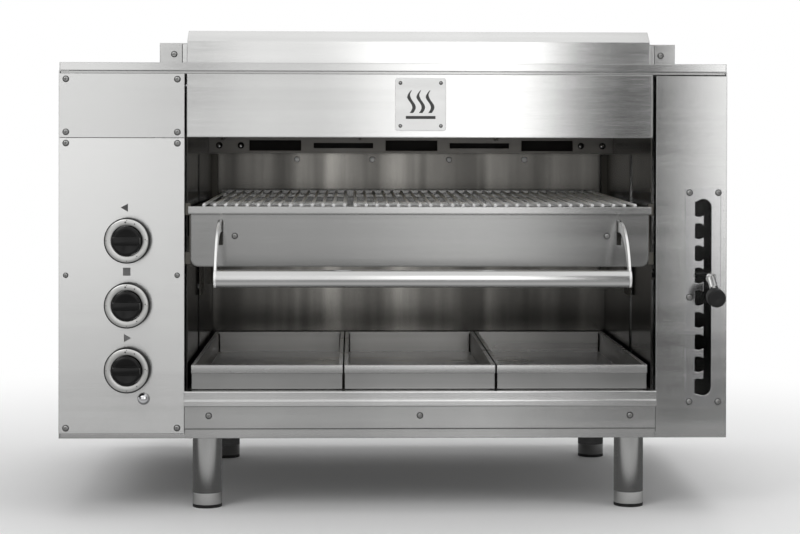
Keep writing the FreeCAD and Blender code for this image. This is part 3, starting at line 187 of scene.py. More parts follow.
card("front_card", card_corners(-2.4, 2.4, (-3.4, 0.02), (-3.4, 3.0)),
     [(-2.4, 0.5), (-1.4, 1.0), (-0.95, 1.3), (-0.62, 1.1), (-0.5, 1.0), (-0.4, 1.15), (-0.1, 1.05),
      (0.05, 1.7), (0.25, 2.1), (0.46, 2.4), (0.6, 0.9), (0.65, 0.5), (0.72, 0.15), (0.8, 0.06),
      (0.9, 0.08), (0.97, 0.7), (1.06, 1.7), (1.2, 2.1), (1.6, 0.7), (2.4, 0.3)])
card("left_stand", card_corners(-0.62, -0.45, (-3.38, 0.5), (-3.38, 0.95)),
     [(-0.62, 0.85), (-0.54, 0.4), (-0.45, 0.9)])
card("low_card", card_corners(-2.4, 2.4, (-3.39, 0.02), (0.6, 0.02)),
     [(-3.39, 0.9), (-2.6, 0.75), (-1.7, 0.5), (-1.0, 0.34), (-0.78, 0.4), (-0.5, 0.6), (-0.4, 0.5),
      (-0.27, 0.12), (0.6, 0.12)], "Y")
card("low_right_card", card_corners(0.5, 2.0, (-3.3, 0.024), (-0.9, 0.024)),
     [(-3.3, 0.2), (-2.2, 0.1), (-1.5, 0.05), (-0.9, 0.15)], "Y")
card("upper_card", card_corners(-2.4, 2.4, (0.9, 2.6), (4.4, 2.0)),
     [(-2.4, 0.8), (-0.6, 1.1), (-0.35, 1.15), (0.1, 1.35), (0.45, 1.35), (0.62, 0.7), (0.78, 0.35),
      (1.0, 0.35), (2.4, 0.5)])
card_low, card_high = 0.02, 2.6
for name, side, end in (("left_card", -1, -1), ("right_card", 1, -1),
                        ("rear_left_card", -1, 1), ("rear_right_card", 1, 1)):
    outer = (side * 1.9, end * 3.4)
    inner = (side * 3.3, end * 1.1)
    card(name, [(*outer, card_low), (*inner, card_low), (*inner, card_high), (*outer, card_high)],
         sorted([(end * 3.4, 0.12), (end * 2.0, 0.16), (end * 1.1, 0.4)]), "Y")


# Four soft lamps, of which mirror images show only the key lamp. The camera stands 2.5 m in front
# of the grill, 1 cm below the canopy's lower edge, and is turned a little to the right.
def lamp(name, spot, aim, wide, high, power):
    """A soft box: a rectangular lamp at spot that points at aim."""
    light = bpy.data.lights.new(name, "AREA")
    light.shape = "RECTANGLE"
    light.size = wide
    light.size_y = high
    light.energy = power
    holder = bpy.data.objects.new(name, light)
    holder.location = spot
    holder.rotation_euler = (Vector(aim) - Vector(spot)).to_track_quat("-Z", "Y").to_euler()
    holder.visible_glossy = name == "key_lamp"
    bpy.context.scene.collection.objects.link(holder)


lamp("key_lamp", (-1.9, -2.4, 2.3), (0, 0, 0.35), 1.8, 1.8, 26)
lamp("side_lamp", (2.6, -1.2, 1.5), (0, 0, 0.3), 1.2, 2.0, 14)
lamp("top_lamp", (0.2, 0.3, 2.9), (0, 0, 0.3), 2.6, 1.8, 26)
lamp("rear_lamp", (0.6, 2.8, 2.0), (0, 0, 0.3), 2.0, 1.4, 16)

camera_spot = Vector((-0.05795, -2.7136, 0.4942))
camera_yaw, camera_pitch, camera_roll = 0.0273, -0.0078, 0.0022
level_share = math.cos(camera_pitch)
ahead = Vector((math.sin(camera_yaw) * level_share, math.cos(camera_yaw) * level_share,
                math.sin(camera_pitch)))
level = Vector((math.cos(camera_yaw), -math.sin(camera_yaw), 0))
upright = level.cross(ahead)
to_right = level * math.cos(camera_roll) + upright * math.sin(camera_roll)
to_top = upright * math.cos(camera_roll) - level * math.sin(camera_roll)
camera_turn = Matrix((to_right, to_top, -ahead)).transposed().to_4x4()
lens = bpy.data.cameras.new("camera")
lens.sensor_width = 36
lens.lens = 82.4
lens.shift_x = -0.0018
lens.shift_y = -0.134
lens.clip_start = 0.05
lens.clip_end = 60
camera = bpy.data.objects.new("camera", lens)
camera.matrix_world = Matrix.Translation(camera_spot) @ camera_turn
bpy.context.scene.collection.objects.link(camera)
bpy.context.scene.camera = camera
bpy.context.scene.view_settings.view_transform = "Standard"


# The casing: side panels, rear panel with two stacks of pressed louvres, top cover and base tray.
# All are 1.2 mm stainless sheet, brushed along its length, folded on a press and screwed together.
def brushed(name, grain, tone="#c6c6c5", rough=0.22, band=0.06, stretch=0.8, stain_and_painted_light=None, edge=0.0012):
    """Stainless sheet with brush lines of half a millimetre along grain, in bands of two centimetres.
    The stain hook, if given, adds nodes that answer with a factor for the colour at each place; it carries
    real stains as well as painted shade and painted highlights."""
    steel, tree, spot = blank_material(name)
    fine, broad = [2000.0] * 3, [55.0] * 3
    along = "xyz".index(grain)
    fine[along] = 12.0
    broad[along] = 1.2
    lines = noise(tree, spot, 2.0, stretch=fine)
    bands = noise(tree, spot, 3.0, stretch=broad)
    cloud = noise(tree, spot, 3.0, scale=7.0)
    mixed = reckon(tree, "ADD", bands, cloud)
    shade = ranged(tree, mixed, 0.7, 1.3, 1 - band, 1 + band)
    # The colour factor below brings in real stains as well as painted shade and painted highlights.
    if stain_and_painted_light:
        shade = reckon(tree, "MULTIPLY", shade, stain_and_painted_light(tree, spot))
    dull = ranged(tree, mixed, 0.6, 1.4, rough * 0.85, rough * 1.2)
    relief = add(tree, "Bump", {"Height": lines, "Strength": 0.12, "Distance": 0.0002})
    rounded = add(tree, "Bevel", {"Radius": edge, "Normal": relief.outputs[0]}, samples=4)
    across = add(tree, "Tangent", direction_type="RADIAL", axis=grain.upper())
    metal = add(tree, "BsdfPrincipled", {"Base Color": tinted(tree, tone, shade), "Metallic": 1.0,
                                         "Roughness": dull, "Anisotropic": stretch,
                                         "Tangent": across.outputs[0], "Normal": rounded.outputs[0]})
    add(tree, "OutputMaterial", {"Surface": metal.outputs[0]})
    return steel


def finish_nodes(finish, *names):
    """Gives CAD nodes their finish."""
    for name in names:
        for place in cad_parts[name].material_slots:
            place.material = finish


casing_steel = brushed("casing_steel", "z")
long_steel = brushed("long_steel", "x", rough=0.15, edge=0.0022)
finish_nodes(casing_steel, "left_side_panel", "right_side_panel", "rear_panel")
finish_nodes(long_steel, "top_cover", "base_tray")


# Forms of the visible pieces: turned forms, boxes and layers of ink. A turned form's profile lists
# (radius, distance along its axis). Each piece rides on the body that carries it.
forwards = (0, -1, 0)
stand_up = Matrix.Rotation(math.pi / 2, 3, "X")
crisp_angle = math.radians(35)
ink_thick = 0.00015


def spun(shape, profile, centre, axis=forwards, steps=64):
    """Adds a turned form: its profile starts at centre and is spun round the axis."""
    middle = Vector(centre)
    line = Vector(axis).normalized()
    side = line.orthogonal().normalized()
    spots = [shape.verts.new(middle + side * radius + line * along) for radius, along in profile]
    edges = [shape.edges.new(pair) for pair in zip(spots, spots[1:])]
    bmesh.ops.spin(shape, geom=spots + edges, cent=middle, axis=line, angle=math.tau, steps=steps,
                   use_merge=True)
    bmesh.ops.remove_doubles(shape, verts=shape.verts, dist=0.00002)


def block(shape, low, high):
    """Adds a box between two corners."""
    part = bmesh.ops.create_cube(shape, size=1.0)["verts"]
    bmesh.ops.scale(shape, verts=part, vec=[b - a for a, b in zip(low, high)])
    bmesh.ops.translate(shape, verts=part, vec=[(a + b) / 2 for a, b in zip(low, high)])


def raised(shape):
    """Gives flat faces the thickness of a layer of ink, towards the front."""
    slab = bmesh.ops.extrude_face_region(shape, geom=shape.faces[:])["geom"]
    top = [v for v in slab if isinstance(v, bmesh.types.BMVert)]
    bmesh.ops.translate(shape, verts=top, vec=(0, -ink_thick, 0))


def finished(name, shape, body, finish):
    """Turns a bmesh into a piece that rides on a body. Edges sharper than crisp_angle stay crisp."""
    bmesh.ops.recalc_face_normals(shape, faces=shape.faces)
    for face in shape.faces:
        face.smooth = True
    for edge in shape.edges:
        if len(edge.link_faces) == 2 and edge.calc_face_angle() > crisp_angle:
            edge.smooth = False
    piece = placed(name, shape, finish)
    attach(piece, body)
    return piece


# Upper left plate and control panel: brushed 1.2 mm plates, screwed over the controls. The upper
# plate is bare. Three small signs are printed on the control panel, one above each control.
def printed(name, tone):
    """Screen ink baked on steel: nearly matt, with the steel's lines just showing through."""
    ink, tree, spot = blank_material(name)
    lines = noise(tree, spot, 2.0, stretch=(20, 900, 900))
    shade = ranged(tree, lines, 0.0, 1.0, 0.8, 1.25)
    film = add(tree, "BsdfPrincipled", {"Base Color": tinted(tree, tone, shade), "Roughness": 0.45})
    add(tree, "OutputMaterial", {"Surface": film.outputs[0]})
    return ink


plate_steel = brushed("plate_steel", "x", tone="#c9c9c8", band=0.03)
control_steel = brushed("control_steel", "x", tone="#d6d6d5", band=0.03)
finish_nodes(plate_steel, "upper_left_panel")
finish_nodes(control_steel, "control_panel")
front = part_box("control_panel")[0].y
dark_ink = printed("dark_ink", "#464646")
grey_ink = printed("grey_ink", "#6c6c6c")
sign_high = 0.0108
for label, x, z, corners, turn, wide, ink in (
        ("sign_left", -0.3607, 0.4101, 3, math.pi / 2, 0.0098, dark_ink),
        ("sign_square", -0.3590, 0.3241, 4, math.pi / 4, 0.0100, grey_ink),
        ("sign_right", -0.3594, 0.2350, 3, -math.pi / 2, 0.0098, grey_ink)):
    sign = bmesh.new()
    bmesh.ops.create_circle(sign, cap_ends=True, segments=corners, radius=1.0)
    bmesh.ops.rotate(sign, verts=sign.verts, matrix=Matrix.Rotation(turn, 3, "Z"))
    full = [max(v.co[i] for v in sign.verts) - min(v.co[i] for v in sign.verts) for i in (0, 1)]
    bmesh.ops.scale(sign, verts=sign.verts, vec=(wide / full[0], sign_high / full[1], 1))
    bmesh.ops.rotate(sign, verts=sign.verts, matrix=stand_up)
    bmesh.ops.translate(sign, verts=sign.verts, vec=(x, front, z))
    raised(sign)
    finished(label, sign, "housing", ink)


# The canopy fascia over the opening and its badge: a bright folded plate and a small plate with
# rounded corners, held by four rivets. The badge bears only a plain sign for rising heat: three
# waving ribbons that narrow towards their tips, over a bar.
finish_nodes(long_steel, "canopy_fascia")
badge_steel = brushed("badge_steel", "x", tone="#dcdcdb", rough=0.4, band=0.03)
finish_nodes(badge_steel, "badge_plate")
badge_ink = printed("badge_ink", "#333333")
badge_low, badge_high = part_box("badge_plate")
badge_mid = (badge_low + badge_high) / 2
sign_lift = 0.001
wave_gap, wave_wide, wave_foot, wave_sway = 0.0125, 0.0048, -0.0125, 0.0036
wave_steps, wave_rise, narrow_from, narrowing = 16, 0.0019, 11, 0.78
bar_wide, bar_thick, bar_z = 0.040, 0.0040, -0.0185
mark = bmesh.new()
for step in (-1, 0, 1):
    left = step * wave_gap - wave_wide / 2
    foot = [mark.verts.new((left + side * wave_wide, 0, wave_foot)) for side in (0, 1)]
    ribbon = [mark.edges.new(foot)]
    for rise in range(1, wave_steps + 1):
        grown = bmesh.ops.extrude_edge_only(mark, edges=ribbon)["geom"]
        tips = [part for part in grown if isinstance(part, bmesh.types.BMVert)]
        ribbon = [part for part in grown if isinstance(part, bmesh.types.BMEdge)]
        before, now = (math.sin(at * math.tau / wave_steps) for at in (rise - 1, rise))
        bmesh.ops.translate(mark, verts=tips, vec=(wave_sway * (now - before), 0, wave_rise))
        if rise > narrow_from:
            middle = (tips[0].co + tips[1].co) / 2
            bmesh.ops.scale(mark, verts=tips, vec=(narrowing, 1, 1), space=Matrix.Translation(-middle))
bar = bmesh.ops.create_grid(mark, x_segments=1, y_segments=1, size=0.5)["verts"]
bmesh.ops.scale(mark, verts=bar, vec=(bar_wide, bar_thick, 1))
bmesh.ops.rotate(mark, verts=bar, matrix=stand_up)
bmesh.ops.translate(mark, verts=bar, vec=(0, 0, bar_z))
bmesh.ops.translate(mark, verts=mark.verts, vec=(badge_mid.x, badge_low.y, badge_mid.z + sign_lift))
raised(mark)
finished("badge_sign", mark, "housing", badge_ink)


# Right front panel and the notched index plate, through whose slot the lever reaches. Both shine
# a little more than the side panels.
right_steel = brushed("right_steel", "x", tone="#bcbcbb", rough=0.15)
index_steel = brushed("index_steel", "x", tone="#bababa", rough=0.15, edge=0.0016)
finish_nodes(right_steel, "right_front_panel")
finish_nodes(index_steel, "index_plate")


# Lower front panel and the rounded rail above it, over which the drip pans slide out.
low_steel = brushed("low_steel", "x", tone="#b2b2b1")
rail_steel = brushed("rail_steel", "x", tone="#d0d0cf", rough=0.16)
finish_nodes(low_steel, "lower_front_panel")
finish_nodes(rail_steel, "front_rail")


# The strip that closes the gap under the lid's front lip: a folded edge behind the lip, spot-welded
# inside the top cover.
strip_half, strip_foot, strip_shelf, strip_top = 0.4476, 0.5902, 0.5925, 0.5938
strip_front, strip_fold, strip_back = -0.2474, -0.2464, -0.2420
strip = bmesh.new()
block(strip, (-strip_half, strip_front, strip_foot), (strip_half, strip_fold, strip_top))
block(strip, (-strip_half, strip_fold, strip_shelf), (strip_half, strip_back, strip_top))
finished("lid_strip", strip, "housing", low_steel)


# Controls: each black bezel carries a satin ring with four dots and four dashes, round a black
# knob with a raised bar, which sits on the brass stem of its valve.
def plain(name, tone, metallic=0.0, rough=0.4, grain_size=0.001, relief=0.1, spread=0.04, shine=0.5):
    """A surface with a fine even grain: cast, moulded, plated or fired."""
    stuff, tree, spot = blank_material(name)
    grains = noise(tree, spot, 3.0, scale=1 / grain_size)
    cloud = noise(tree, spot, 4.0, scale=60.0)
    shade = ranged(tree, cloud, 0.3, 0.7, 1 - spread, 1 + spread)
    dull = ranged(tree, cloud, 0.3, 0.7, rough * 0.85, rough * 1.15)
    bumps = add(tree, "Bump", {"Height": grains, "Strength": relief, "Distance": 0.0002})
    rounded = add(tree, "Bevel", {"Radius": 0.0005, "Normal": bumps.outputs[0]}, samples=4)
    surface = add(tree, "BsdfPrincipled", {"Base Color": tinted(tree, tone, shade), "Metallic": metallic,
                                           "Roughness": dull, "Specular IOR Level": shine,
                                           "Normal": rounded.outputs[0]})
    add(tree, "OutputMaterial", {"Surface": surface.outputs[0]})
    return stuff


satin_ring = plain("satin_ring", "#c2c2c0", metallic=1.0, rough=0.32)
black_gloss = plain("black_gloss", "#131313", rough=0.12, relief=0.02, shine=0.22)
black_matt = plain("black_matt", "#1c1c1c", rough=0.5, shine=0.3)
brass = plain("brass", "#b89a5a", metallic=1.0, rough=0.3)
finish_nodes(brass, "valve_stem_top", "valve_stem_middle", "valve_stem_bottom", "gas_valves")

out, bore, deep = 0.0305, 0.0205, 0.018
bezel_profile = [(bore, 0), (out, 0), (out, deep - 0.0016), (out - 0.0004, deep - 0.0010),
                 (out - 0.0012, deep - 0.0007), (bore, deep - 0.0007), (bore, 0)]
ring_profile = [(out - 0.0016, deep - 0.0007), (out - 0.0020, deep - 0.0003), (out - 0.0028, deep - 0.0001),
                ((out + bore) / 2, deep), (bore + 0.0012, deep - 0.0001), (bore + 0.0004, deep - 0.0004),
                (bore, deep - 0.0010)]
# Each dot's angle, in degrees clockwise from the top, and its radius.
dots = ((-4, 0.00125), (25, 0.0009), (86, 0.0008), (147, 0.0008))
dot_ring, dot_lift = 0.0248, 0.00006
dash_size, dash_sunk, dash_inset = (0.0007, 0.0002, 0.0016), 0.00005, 0.0033

bottom, waist, top = 0.009, 0.0235, 0.031
dish_profile = [(0.0065, bottom), (0.0188, bottom), (0.0195, bottom + 0.0007), (0.0195, waist - 0.0026),
                (0.0192, waist - 0.0013), (0.0184, waist - 0.0004), (0.0172, waist), (0.0150, waist - 0.0003),
                (0.0100, waist - 0.0009), (0.0052, waist - 0.0012)]
grip_long, grip_deep, grip_thick = 0.0376, 0.014, 0.0110
grip_corner, grip_crown, near_enough = 0.0034, 0.0018, 0.0001

shell, rings, marks = bmesh.new(), bmesh.new(), bmesh.new()
for label in ("top", "middle", "bottom"):
    low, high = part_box("knob_" + label)
    centre = Vector(((low.x + high.x) / 2, front, (low.z + high.z) / 2))
    spun(shell, bezel_profile, centre, steps=72)
    spun(rings, ring_profile, centre, steps=72)
    for angle, size in dots:
        turn = math.radians(angle)
        away = Vector((dot_ring * math.sin(turn), -deep - dot_lift, dot_ring * math.cos(turn)))
        dot = bmesh.ops.create_circle(marks, cap_ends=True, segments=20, radius=size)["verts"]
        bmesh.ops.rotate(marks, verts=dot, matrix=stand_up)
        bmesh.ops.translate(marks, verts=dot, vec=centre + away)
    for angle in (0, 90, 180, 270):
        dash = bmesh.ops.create_cube(marks, size=1.0)["verts"]
        bmesh.ops.scale(marks, verts=dash, vec=dash_size)
        bmesh.ops.translate(marks, verts=dash, vec=(0, -deep + dash_sunk, out - dash_inset))
        bmesh.ops.rotate(marks, verts=dash, matrix=Matrix.Rotation(math.radians(angle), 3, "Y"))
        bmesh.ops.translate(marks, verts=dash, vec=centre)

    # The dish is open at the stem. The bar has no underside, so that the stem has room when the
    # knob is pushed in.
    knob = bmesh.new()
    spun(knob, dish_profile, centre, steps=72)
    bar = set(bmesh.ops.create_cube(knob, size=1.0)["verts"])
    bmesh.ops.scale(knob, verts=list(bar), vec=(grip_long, grip_deep, grip_thick))
    bmesh.ops.translate(knob, verts=list(bar), vec=centre + Vector((0, grip_deep / 2 - top, 0)))
    bar_foot = centre.y + grip_deep - top
    under = [face for face in knob.faces
             if all(v in bar and v.co.y > bar_foot - near_enough for v in face.verts)]
    bmesh.ops.delete(knob, geom=under, context="FACES_ONLY")
    corners = [edge for edge in knob.edges
               if edge.verts[0] in bar and abs(edge.verts[0].co.y - edge.verts[1].co.y) > grip_deep / 2]
    bmesh.ops.bevel(knob, geom=corners, offset=grip_corner, affect="EDGES", segments=6, profile=0.5,
                    material=-1)
    crown = [edge for edge in knob.edges
             if all(v.co.y < centre.y - top + near_enough for v in edge.verts)]
    bmesh.ops.bevel(knob, geom=crown, offset=grip_crown, affect="EDGES", segments=4, profile=0.5,
                    material=-1)
    grip = finished("knob_%s_grip" % label, knob, "grip_" + label, black_gloss)
    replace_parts(grip, "knob_" + label)
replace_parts(finished("bezel_shells", shell, "housing", black_matt), "knob_bezels")
finished("bezel_rings", rings, "housing", satin_ring)
finished("bezel_marks", marks, "housing", dark_ink)


# The igniter: a domed chrome button below the controls, in front of its black piezo body.
chrome = plain("chrome", "#d6d6d8", metallic=1.0, rough=0.08, relief=0.02)
finish_nodes(black_matt, "igniter_body")
low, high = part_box("igniter_button")
reach = high.y - low.y
button_profile = [(0.0030, 0), (0.0030, reach - 0.0080), (0.0073, reach - 0.0080), (0.0077, reach - 0.0076),
                  (0.0077, reach - 0.0048), (0.0072, reach - 0.0028), (0.0058, reach - 0.0012),
                  (0.0038, reach - 0.0004), (0, reach)]
button = bmesh.new()
spun(button, button_profile, ((low.x + high.x) / 2, high.y, (low.z + high.z) / 2), steps=48)
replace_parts(finished("spark_button", button, "button", chrome), "igniter_button")


# Gas train: a galvanised inlet pipe with its manifold and three drawn aluminium supply tubes.
galvanised = plain("galvanised", "#9a9c9e", metallic=1.0, rough=0.45)
drawn_tube = plain("drawn_tube", "#c4c5c7", metallic=1.0, rough=0.3)
finish_nodes(galvanised, "gas_manifold")
finish_nodes(drawn_tube, "supply_tubes")


# The cooking chamber: polished walls that heat has browned, a shelf for the pans and the burners'
# frame with its windows, above which the pierced ceramic tiles of three burners face down.
def heat_stains_and_corner_shade(tree, spot):
    """Broad upright streaks of browned steel, with painted shade that darkens the walls towards the chamber's
    corners.
    """
    streaks = noise(tree, spot, 2.5, stretch=(17.0, 17.0, 0.9), shift=(3.1, 0.4, 0.0))
    wide = ranged(tree, streaks, 0.35, 0.65, 0.4, 1.4)
    off_centre = reckon(tree, "ADD", axis_of(tree, spot, "X"), -0.02)
    apart = reckon(tree, "ABSOLUTE", off_centre)
    # Painted shade: the colour falls to 0.45 of the streaks towards the chamber's corners.
    corner = ranged(tree, apart, 0.1, 0.31, 1.0, 0.45, interpolation_type="SMOOTHSTEP")
    return reckon(tree, "MULTIPLY", wide, corner)


# The walls' colour carries browned streaks and painted shade in the corners.
wall_steel = brushed("wall_steel", "z", tone="#75736f", rough=0.2, band=0.3, stretch=0.75, stain_and_painted_light=heat_stains_and_corner_shade)
dark_steel = brushed("dark_steel", "x", tone="#56544f", rough=0.35, band=0.2)
frame_steel = brushed("frame_steel", "x", tone="#74726f", rough=0.35, band=0.2)
fired_steel = plain("fired_steel", "#1d1b1a", metallic=0.6, rough=0.6, grain_size=0.002, relief=0.3,
                    spread=0.3)
tile_clay = plain("tile_clay", "#cfc4ae", rough=0.85, grain_size=0.0006)
finish_nodes(wall_steel, "cavity_left_wall", "cavity_right_wall", "cavity_back_wall")
finish_nodes(dark_steel, "pan_shelf", "rack_guides", "igniter_electrodes")
finish_nodes(frame_steel, "burner_frame")
finish_nodes(fired_steel, "burner_left", "burner_middle", "burner_right")
finish_nodes(tile_clay, "ceramic_tiles")


# A dark skirt under the burners, behind the frame's windows. Four bright pins stand in its plane,
# behind the frame's round holes, and four hexagon bolt heads sit on the back wall.
worked_steel = plain("worked_steel", "#9c9c9b", metallic=1.0, rough=0.35)
skirt_left, skirt_right, skirt_foot, skirt_top = -0.2560, 0.3270, 0.4825, 0.5115
skirt_front, skirt_back = 0.1580, 0.1590
pin_profile = [(0.0034, 0), (0.0034, 0.0275), (0.0029, 0.0288), (0.0016, 0.0296), (0, 0.0299)]
pin_z = 0.4932
bolt_profile = [(0.0050, 0), (0.0050, 0.0026), (0.0043, 0.0034), (0, 0.0038)]
bolt_foot, bolt_z = 0.2107, 0.4718
skirt, pins, bolts = bmesh.new(), bmesh.new(), bmesh.new()
block(skirt, (skirt_left, skirt_front, skirt_foot), (skirt_right, skirt_back, skirt_top))
for x in (-0.26325, -0.22975, 0.29825, 0.33175):
    spun(pins, pin_profile, (x, skirt_front, pin_z), steps=24)
for x in (-0.1445, -0.0248, 0.0981, 0.2186):
    spun(bolts, bolt_profile, (x, bolt_foot, bolt_z), steps=6)
finished("burner_skirt", skirt, "housing", fired_steel)
finished("hanger_pins", pins, "housing", chrome)
finished("wall_bolts", bolts, "housing", worked_steel)


# The lift: a cross shaft with two arms behind the walls, the carriage, and the lever with its
# black moulded knob, which is closed at the front and leans with the lever.
lever_steel = plain("lever_steel", "#cfcfce", metallic=1.0, rough=0.2)
finish_nodes(worked_steel, "shaft_bearings", "lift_shaft", "lift_arms")
finish_nodes(lever_steel, "lever_rod")
finish_nodes(dark_steel, "carriage")
cap_profile = [(0.0060, 0.0020), (0.0108, 0.0), (0.0118, 0.0012), (0.0122, 0.0040), (0.0122, 0.0150),
               (0.0119, 0.0166), (0.0110, 0.0178), (0.0096, 0.0182), (0.0080, 0.0180), (0.0012, 0.0178),
               (0.0007, 0.0175), (0, 0.0175)]
cap_start, cap_rise, cap_lean = 0.0190, 0.0095, (0, -0.995, -0.10)
low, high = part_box("lever_cap")
cap = bmesh.new()
spun(cap, cap_profile, ((low.x + high.x) / 2, low.y + cap_start, low.z + cap_rise), cap_lean, 48)
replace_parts(finished("lever_knob", cap, "lever", black_matt), "lever_cap")


# The rack drawer: folded frame, bright apron, two flat handle arms, the polished handle tube and
# three grids of round wire.
def lip_painted_highlight(tree, spot):
    """Painted highlight: brighter on the apron's lip."""
    return ranged(tree, axis_of(tree, spot, "Y"), -0.2515, -0.2500, 1.5, 1.0)


# The apron's colour carries a painted highlight along its lip.
apron_steel = brushed("apron_steel", "x", tone="#8f8f8e", band=0.1, stain_and_painted_light=lip_painted_highlight, edge=0.003)
tube_steel = brushed("tube_steel", "x", tone="#cdcdcc", rough=0.16, band=0.04)
wire_steel = plain("wire_steel", "#f6f6f5", metallic=0.5, rough=0.22)
grid_steel = plain("grid_steel", "#fafaf9", metallic=0.1, rough=0.45)
finish_nodes(apron_steel, "rack_apron", "rack_frame")
finish_nodes(tube_steel, "handle_tube")
finish_nodes(wire_steel, "handle_arms")
finish_nodes(grid_steel, "grid_left", "grid_middle", "grid_right")


# Three drip pans of 1 mm sheet with folded rims. Each pan's front is a plate nearly as wide as its
# rim, with a rolled band along the top.
def upward_painted_light(tree, spot):
    """Painted light: brighter where the sheet faces upwards, as if lit from above."""
    facing = axis_of(tree, add(tree, "NewGeometry").outputs["Normal"], "Z")
    return ranged(tree, facing, 0.15, 0.7, 1.0, 4.2)


# The pans' colour carries painted light on every face that points upwards.
pan_steel = brushed("pan_steel", "x", tone="#8c8b89", rough=0.3, band=0.15, stain_and_painted_light=upward_painted_light)
rim_steel = brushed("rim_steel", "x", tone="#a6a6a5", rough=0.25, edge=0.0016)
plate_dull = brushed("plate_dull", "x", tone="#878786", rough=0.3, band=0.15)
finish_nodes(pan_steel, "drip_pan_left", "drip_pan_middle", "drip_pan_right")
plate_inset, plate_jut, plate_back, plate_foot, plate_drop = 0.0006, 0.0002, 0.0012, 0.0008, 0.0020
rim_jut, rim_back, rim_high, rim_over, rim_round = 0.0016, 0.0014, 0.0112, 0.0003, 0.0010
for label in ("left", "middle", "right"):
    low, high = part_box("drip_pan_" + label)
    plate, rim = bmesh.new(), bmesh.new()
    block(plate, (low.x + plate_inset, low.y - plate_jut, low.z + plate_foot),
          (high.x - plate_inset, low.y + plate_back, high.z - plate_drop))
    block(rim, (low.x, low.y - rim_jut, high.z - rim_high), (high.x, low.y + rim_back, high.z + rim_over))
    long_edges = [edge for edge in rim.edges if abs(edge.verts[0].co.x - edge.verts[1].co.x) > rim_high]
    bmesh.ops.bevel(rim, geom=long_edges, offset=rim_round, affect="EDGES", segments=3, profile=0.5,
                    material=-1)
    finished("pan_front_" + label, plate, "pan_" + label, plate_dull)
    finished("pan_rim_" + label, rim, "pan_" + label, rim_steel)


# The flue on top: an open box and a sloping deflector in front of it. An upright strap stands at
# each end of the deflector, between two dark seams.
flue_steel = brushed("flue_steel", "x", tone="#dcdcdb", rough=0.15)
finish_nodes(long_steel, "flue_box")
finish_nodes(flue_steel, "flue_deflector")
flue_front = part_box("flue_box")[0].y
strap_wide, strap_jut, strap_low, strap_high = 0.0062, 0.004, 0.6052, 0.6340
seam_wide, seam_jut, seam_gap, seam_high = 0.0013, 0.0006, 0.0016, 0.6345
ends, seams = bmesh.new(), bmesh.new()
for x, side in ((-0.2862, -1), (0.3585, 1)):
    left, right = sorted((x, x + side * strap_wide))
    block(ends, (left, flue_front - strap_jut, strap_low), (right, flue_front, strap_high))
    for start in (x - side * seam_gap, x + side * strap_wide):
        left, right = sorted((start, start + side * seam_wide))
        block(seams, (left, flue_front - seam_jut, strap_low), (right, flue_front, seam_high))
finished("flue_end_straps", ends, "housing", flue_steel)
finished("flue_seams", seams, "housing", black_matt)


# Legs: drawn 40 mm tube with a black levelling foot in each, which screws out.
def rear_painted_shade(tree, spot):
    """Painted shade: darker on the rear legs, which stand under the body."""
    return ranged(tree, axis_of(tree, spot, "Y"), -0.1, 0.1, 1.0, 0.3)


# The legs' colour carries painted shade on the rear pair.
leg_steel = brushed("leg_steel", "z", tone="#bcbcbb", rough=0.18, stretch=0.3, stain_and_painted_light=rear_painted_shade)
finish_nodes(leg_steel, "legs")
finish_nodes(black_matt, "foot_front_left", "foot_rear_left", "foot_front_right", "foot_rear_right")


# Screws and rivets: pressed steel heads with a cross recess, each ringed at its foot by a flat dark ring that
# is painted shade; the badge's four are plain rivets. Two more screws hold the apron to the rack's frame.
largest_rivet = 0.002
shade_ring_thick, shade_ring_rim, shade_ring_foot = 0.0003, 0.0007, 0.0008


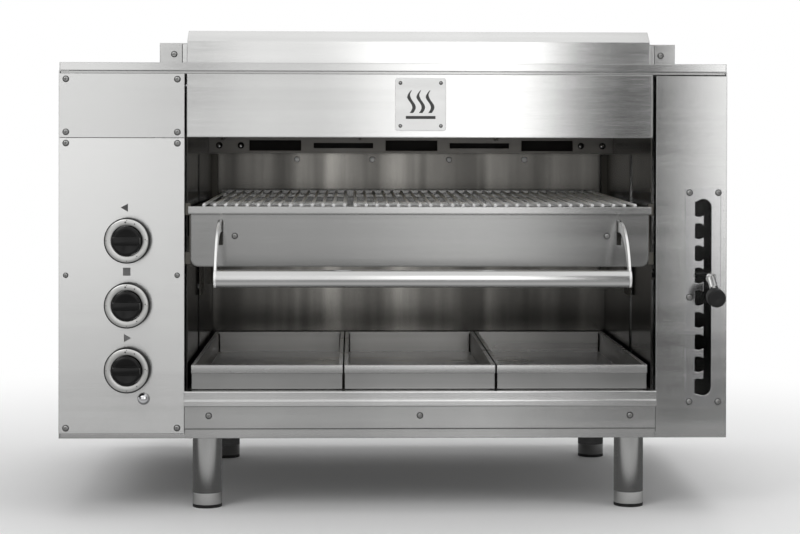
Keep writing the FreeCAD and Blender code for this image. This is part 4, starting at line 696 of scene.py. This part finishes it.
def screw_head(shape, foot, size, tall):
    """Adds a domed head of radius size that faces -Y. All but rivets have a cross recess."""
    dome = [(0.46 * size, tall), (0.62 * size, 0.97 * tall), (0.80 * size, 0.84 * tall),
            (0.93 * size, 0.62 * tall), (size, 0.30 * tall), (size, 0)]
    crossed = size > largest_rivet
    recess = [(0, 0.25 * tall), (0.24 * size, 0.35 * tall), dome[0]]
    before = set(shape.verts)
    spun(shape, (recess if crossed else [(0, tall)]) + dome[1:], foot, steps=16)
    if crossed:
        # The recess is round so far: four arms are drawn out, and the rim between them in.
        for v in set(shape.verts) - before:
            arm = Vector((v.co.x - foot.x, v.co.z - foot.z))
            if 0.2 * size < arm.length < 0.5 * size:
                reach = 1.25 - 0.7 * abs(math.sin(2 * math.atan2(arm.y, arm.x)))
                v.co.x = foot.x + arm.x * reach
                v.co.z = foot.z + arm.y * reach


def shade_ring(shape, foot, size):
    """Adds a flat ring of painted shade round the foot of a screw head."""
    ring = [(0.9 * size, shade_ring_thick), (size + shade_ring_rim, shade_ring_thick), (size + shade_ring_foot, 0)]
    spun(shape, ring, foot, steps=24)


# Each loose shell of the CAD's node is one head. Its box gives the new head's place and size.
loose, screws, shade_rings = bmesh.new(), bmesh.new(), bmesh.new()
loose.from_mesh(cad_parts["panel_screws"].data)
bmesh.ops.remove_doubles(loose, verts=loose.verts, dist=0.00001)
seen = set()
for first in loose.verts:
    if first in seen:
        continue
    seen.add(first)
    island = [first]
    for spot in island:
        for edge in spot.link_edges:
            other = edge.other_vert(spot)
            if other not in seen:
                seen.add(other)
                island.append(other)
    low = Vector([min(v.co[i] for v in island) for i in range(3)])
    high = Vector([max(v.co[i] for v in island) for i in range(3)])
    foot = Vector(((low.x + high.x) / 2, high.y, (low.z + high.z) / 2))
    screw_head(screws, foot, (high.x - low.x) / 2, high.y - low.y)
    shade_ring(shade_rings, foot, (high.x - low.x) / 2)
loose.free()
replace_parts(finished("screw_heads", screws, "housing", worked_steel), "panel_screws")
# A dark ring of painted shade lies round each head.
finished("screw_shade_rings", shade_rings, "housing", black_matt)

apron_screw_z, apron_screw_radius, apron_screw_tall = 0.3722, 0.0034, 0.0018
apron_screws, apron_shade_rings = bmesh.new(), bmesh.new()
for x in (-0.2144, 0.2872):
    foot = Vector((x, front, apron_screw_z))
    screw_head(apron_screws, foot, apron_screw_radius, apron_screw_tall)
    shade_ring(apron_shade_rings, foot, apron_screw_radius)
finished("apron_screws", apron_screws, "rack", worked_steel)
# A dark ring of painted shade lies round each apron screw.
finished("apron_shade_rings", apron_shade_rings, "rack", black_matt)
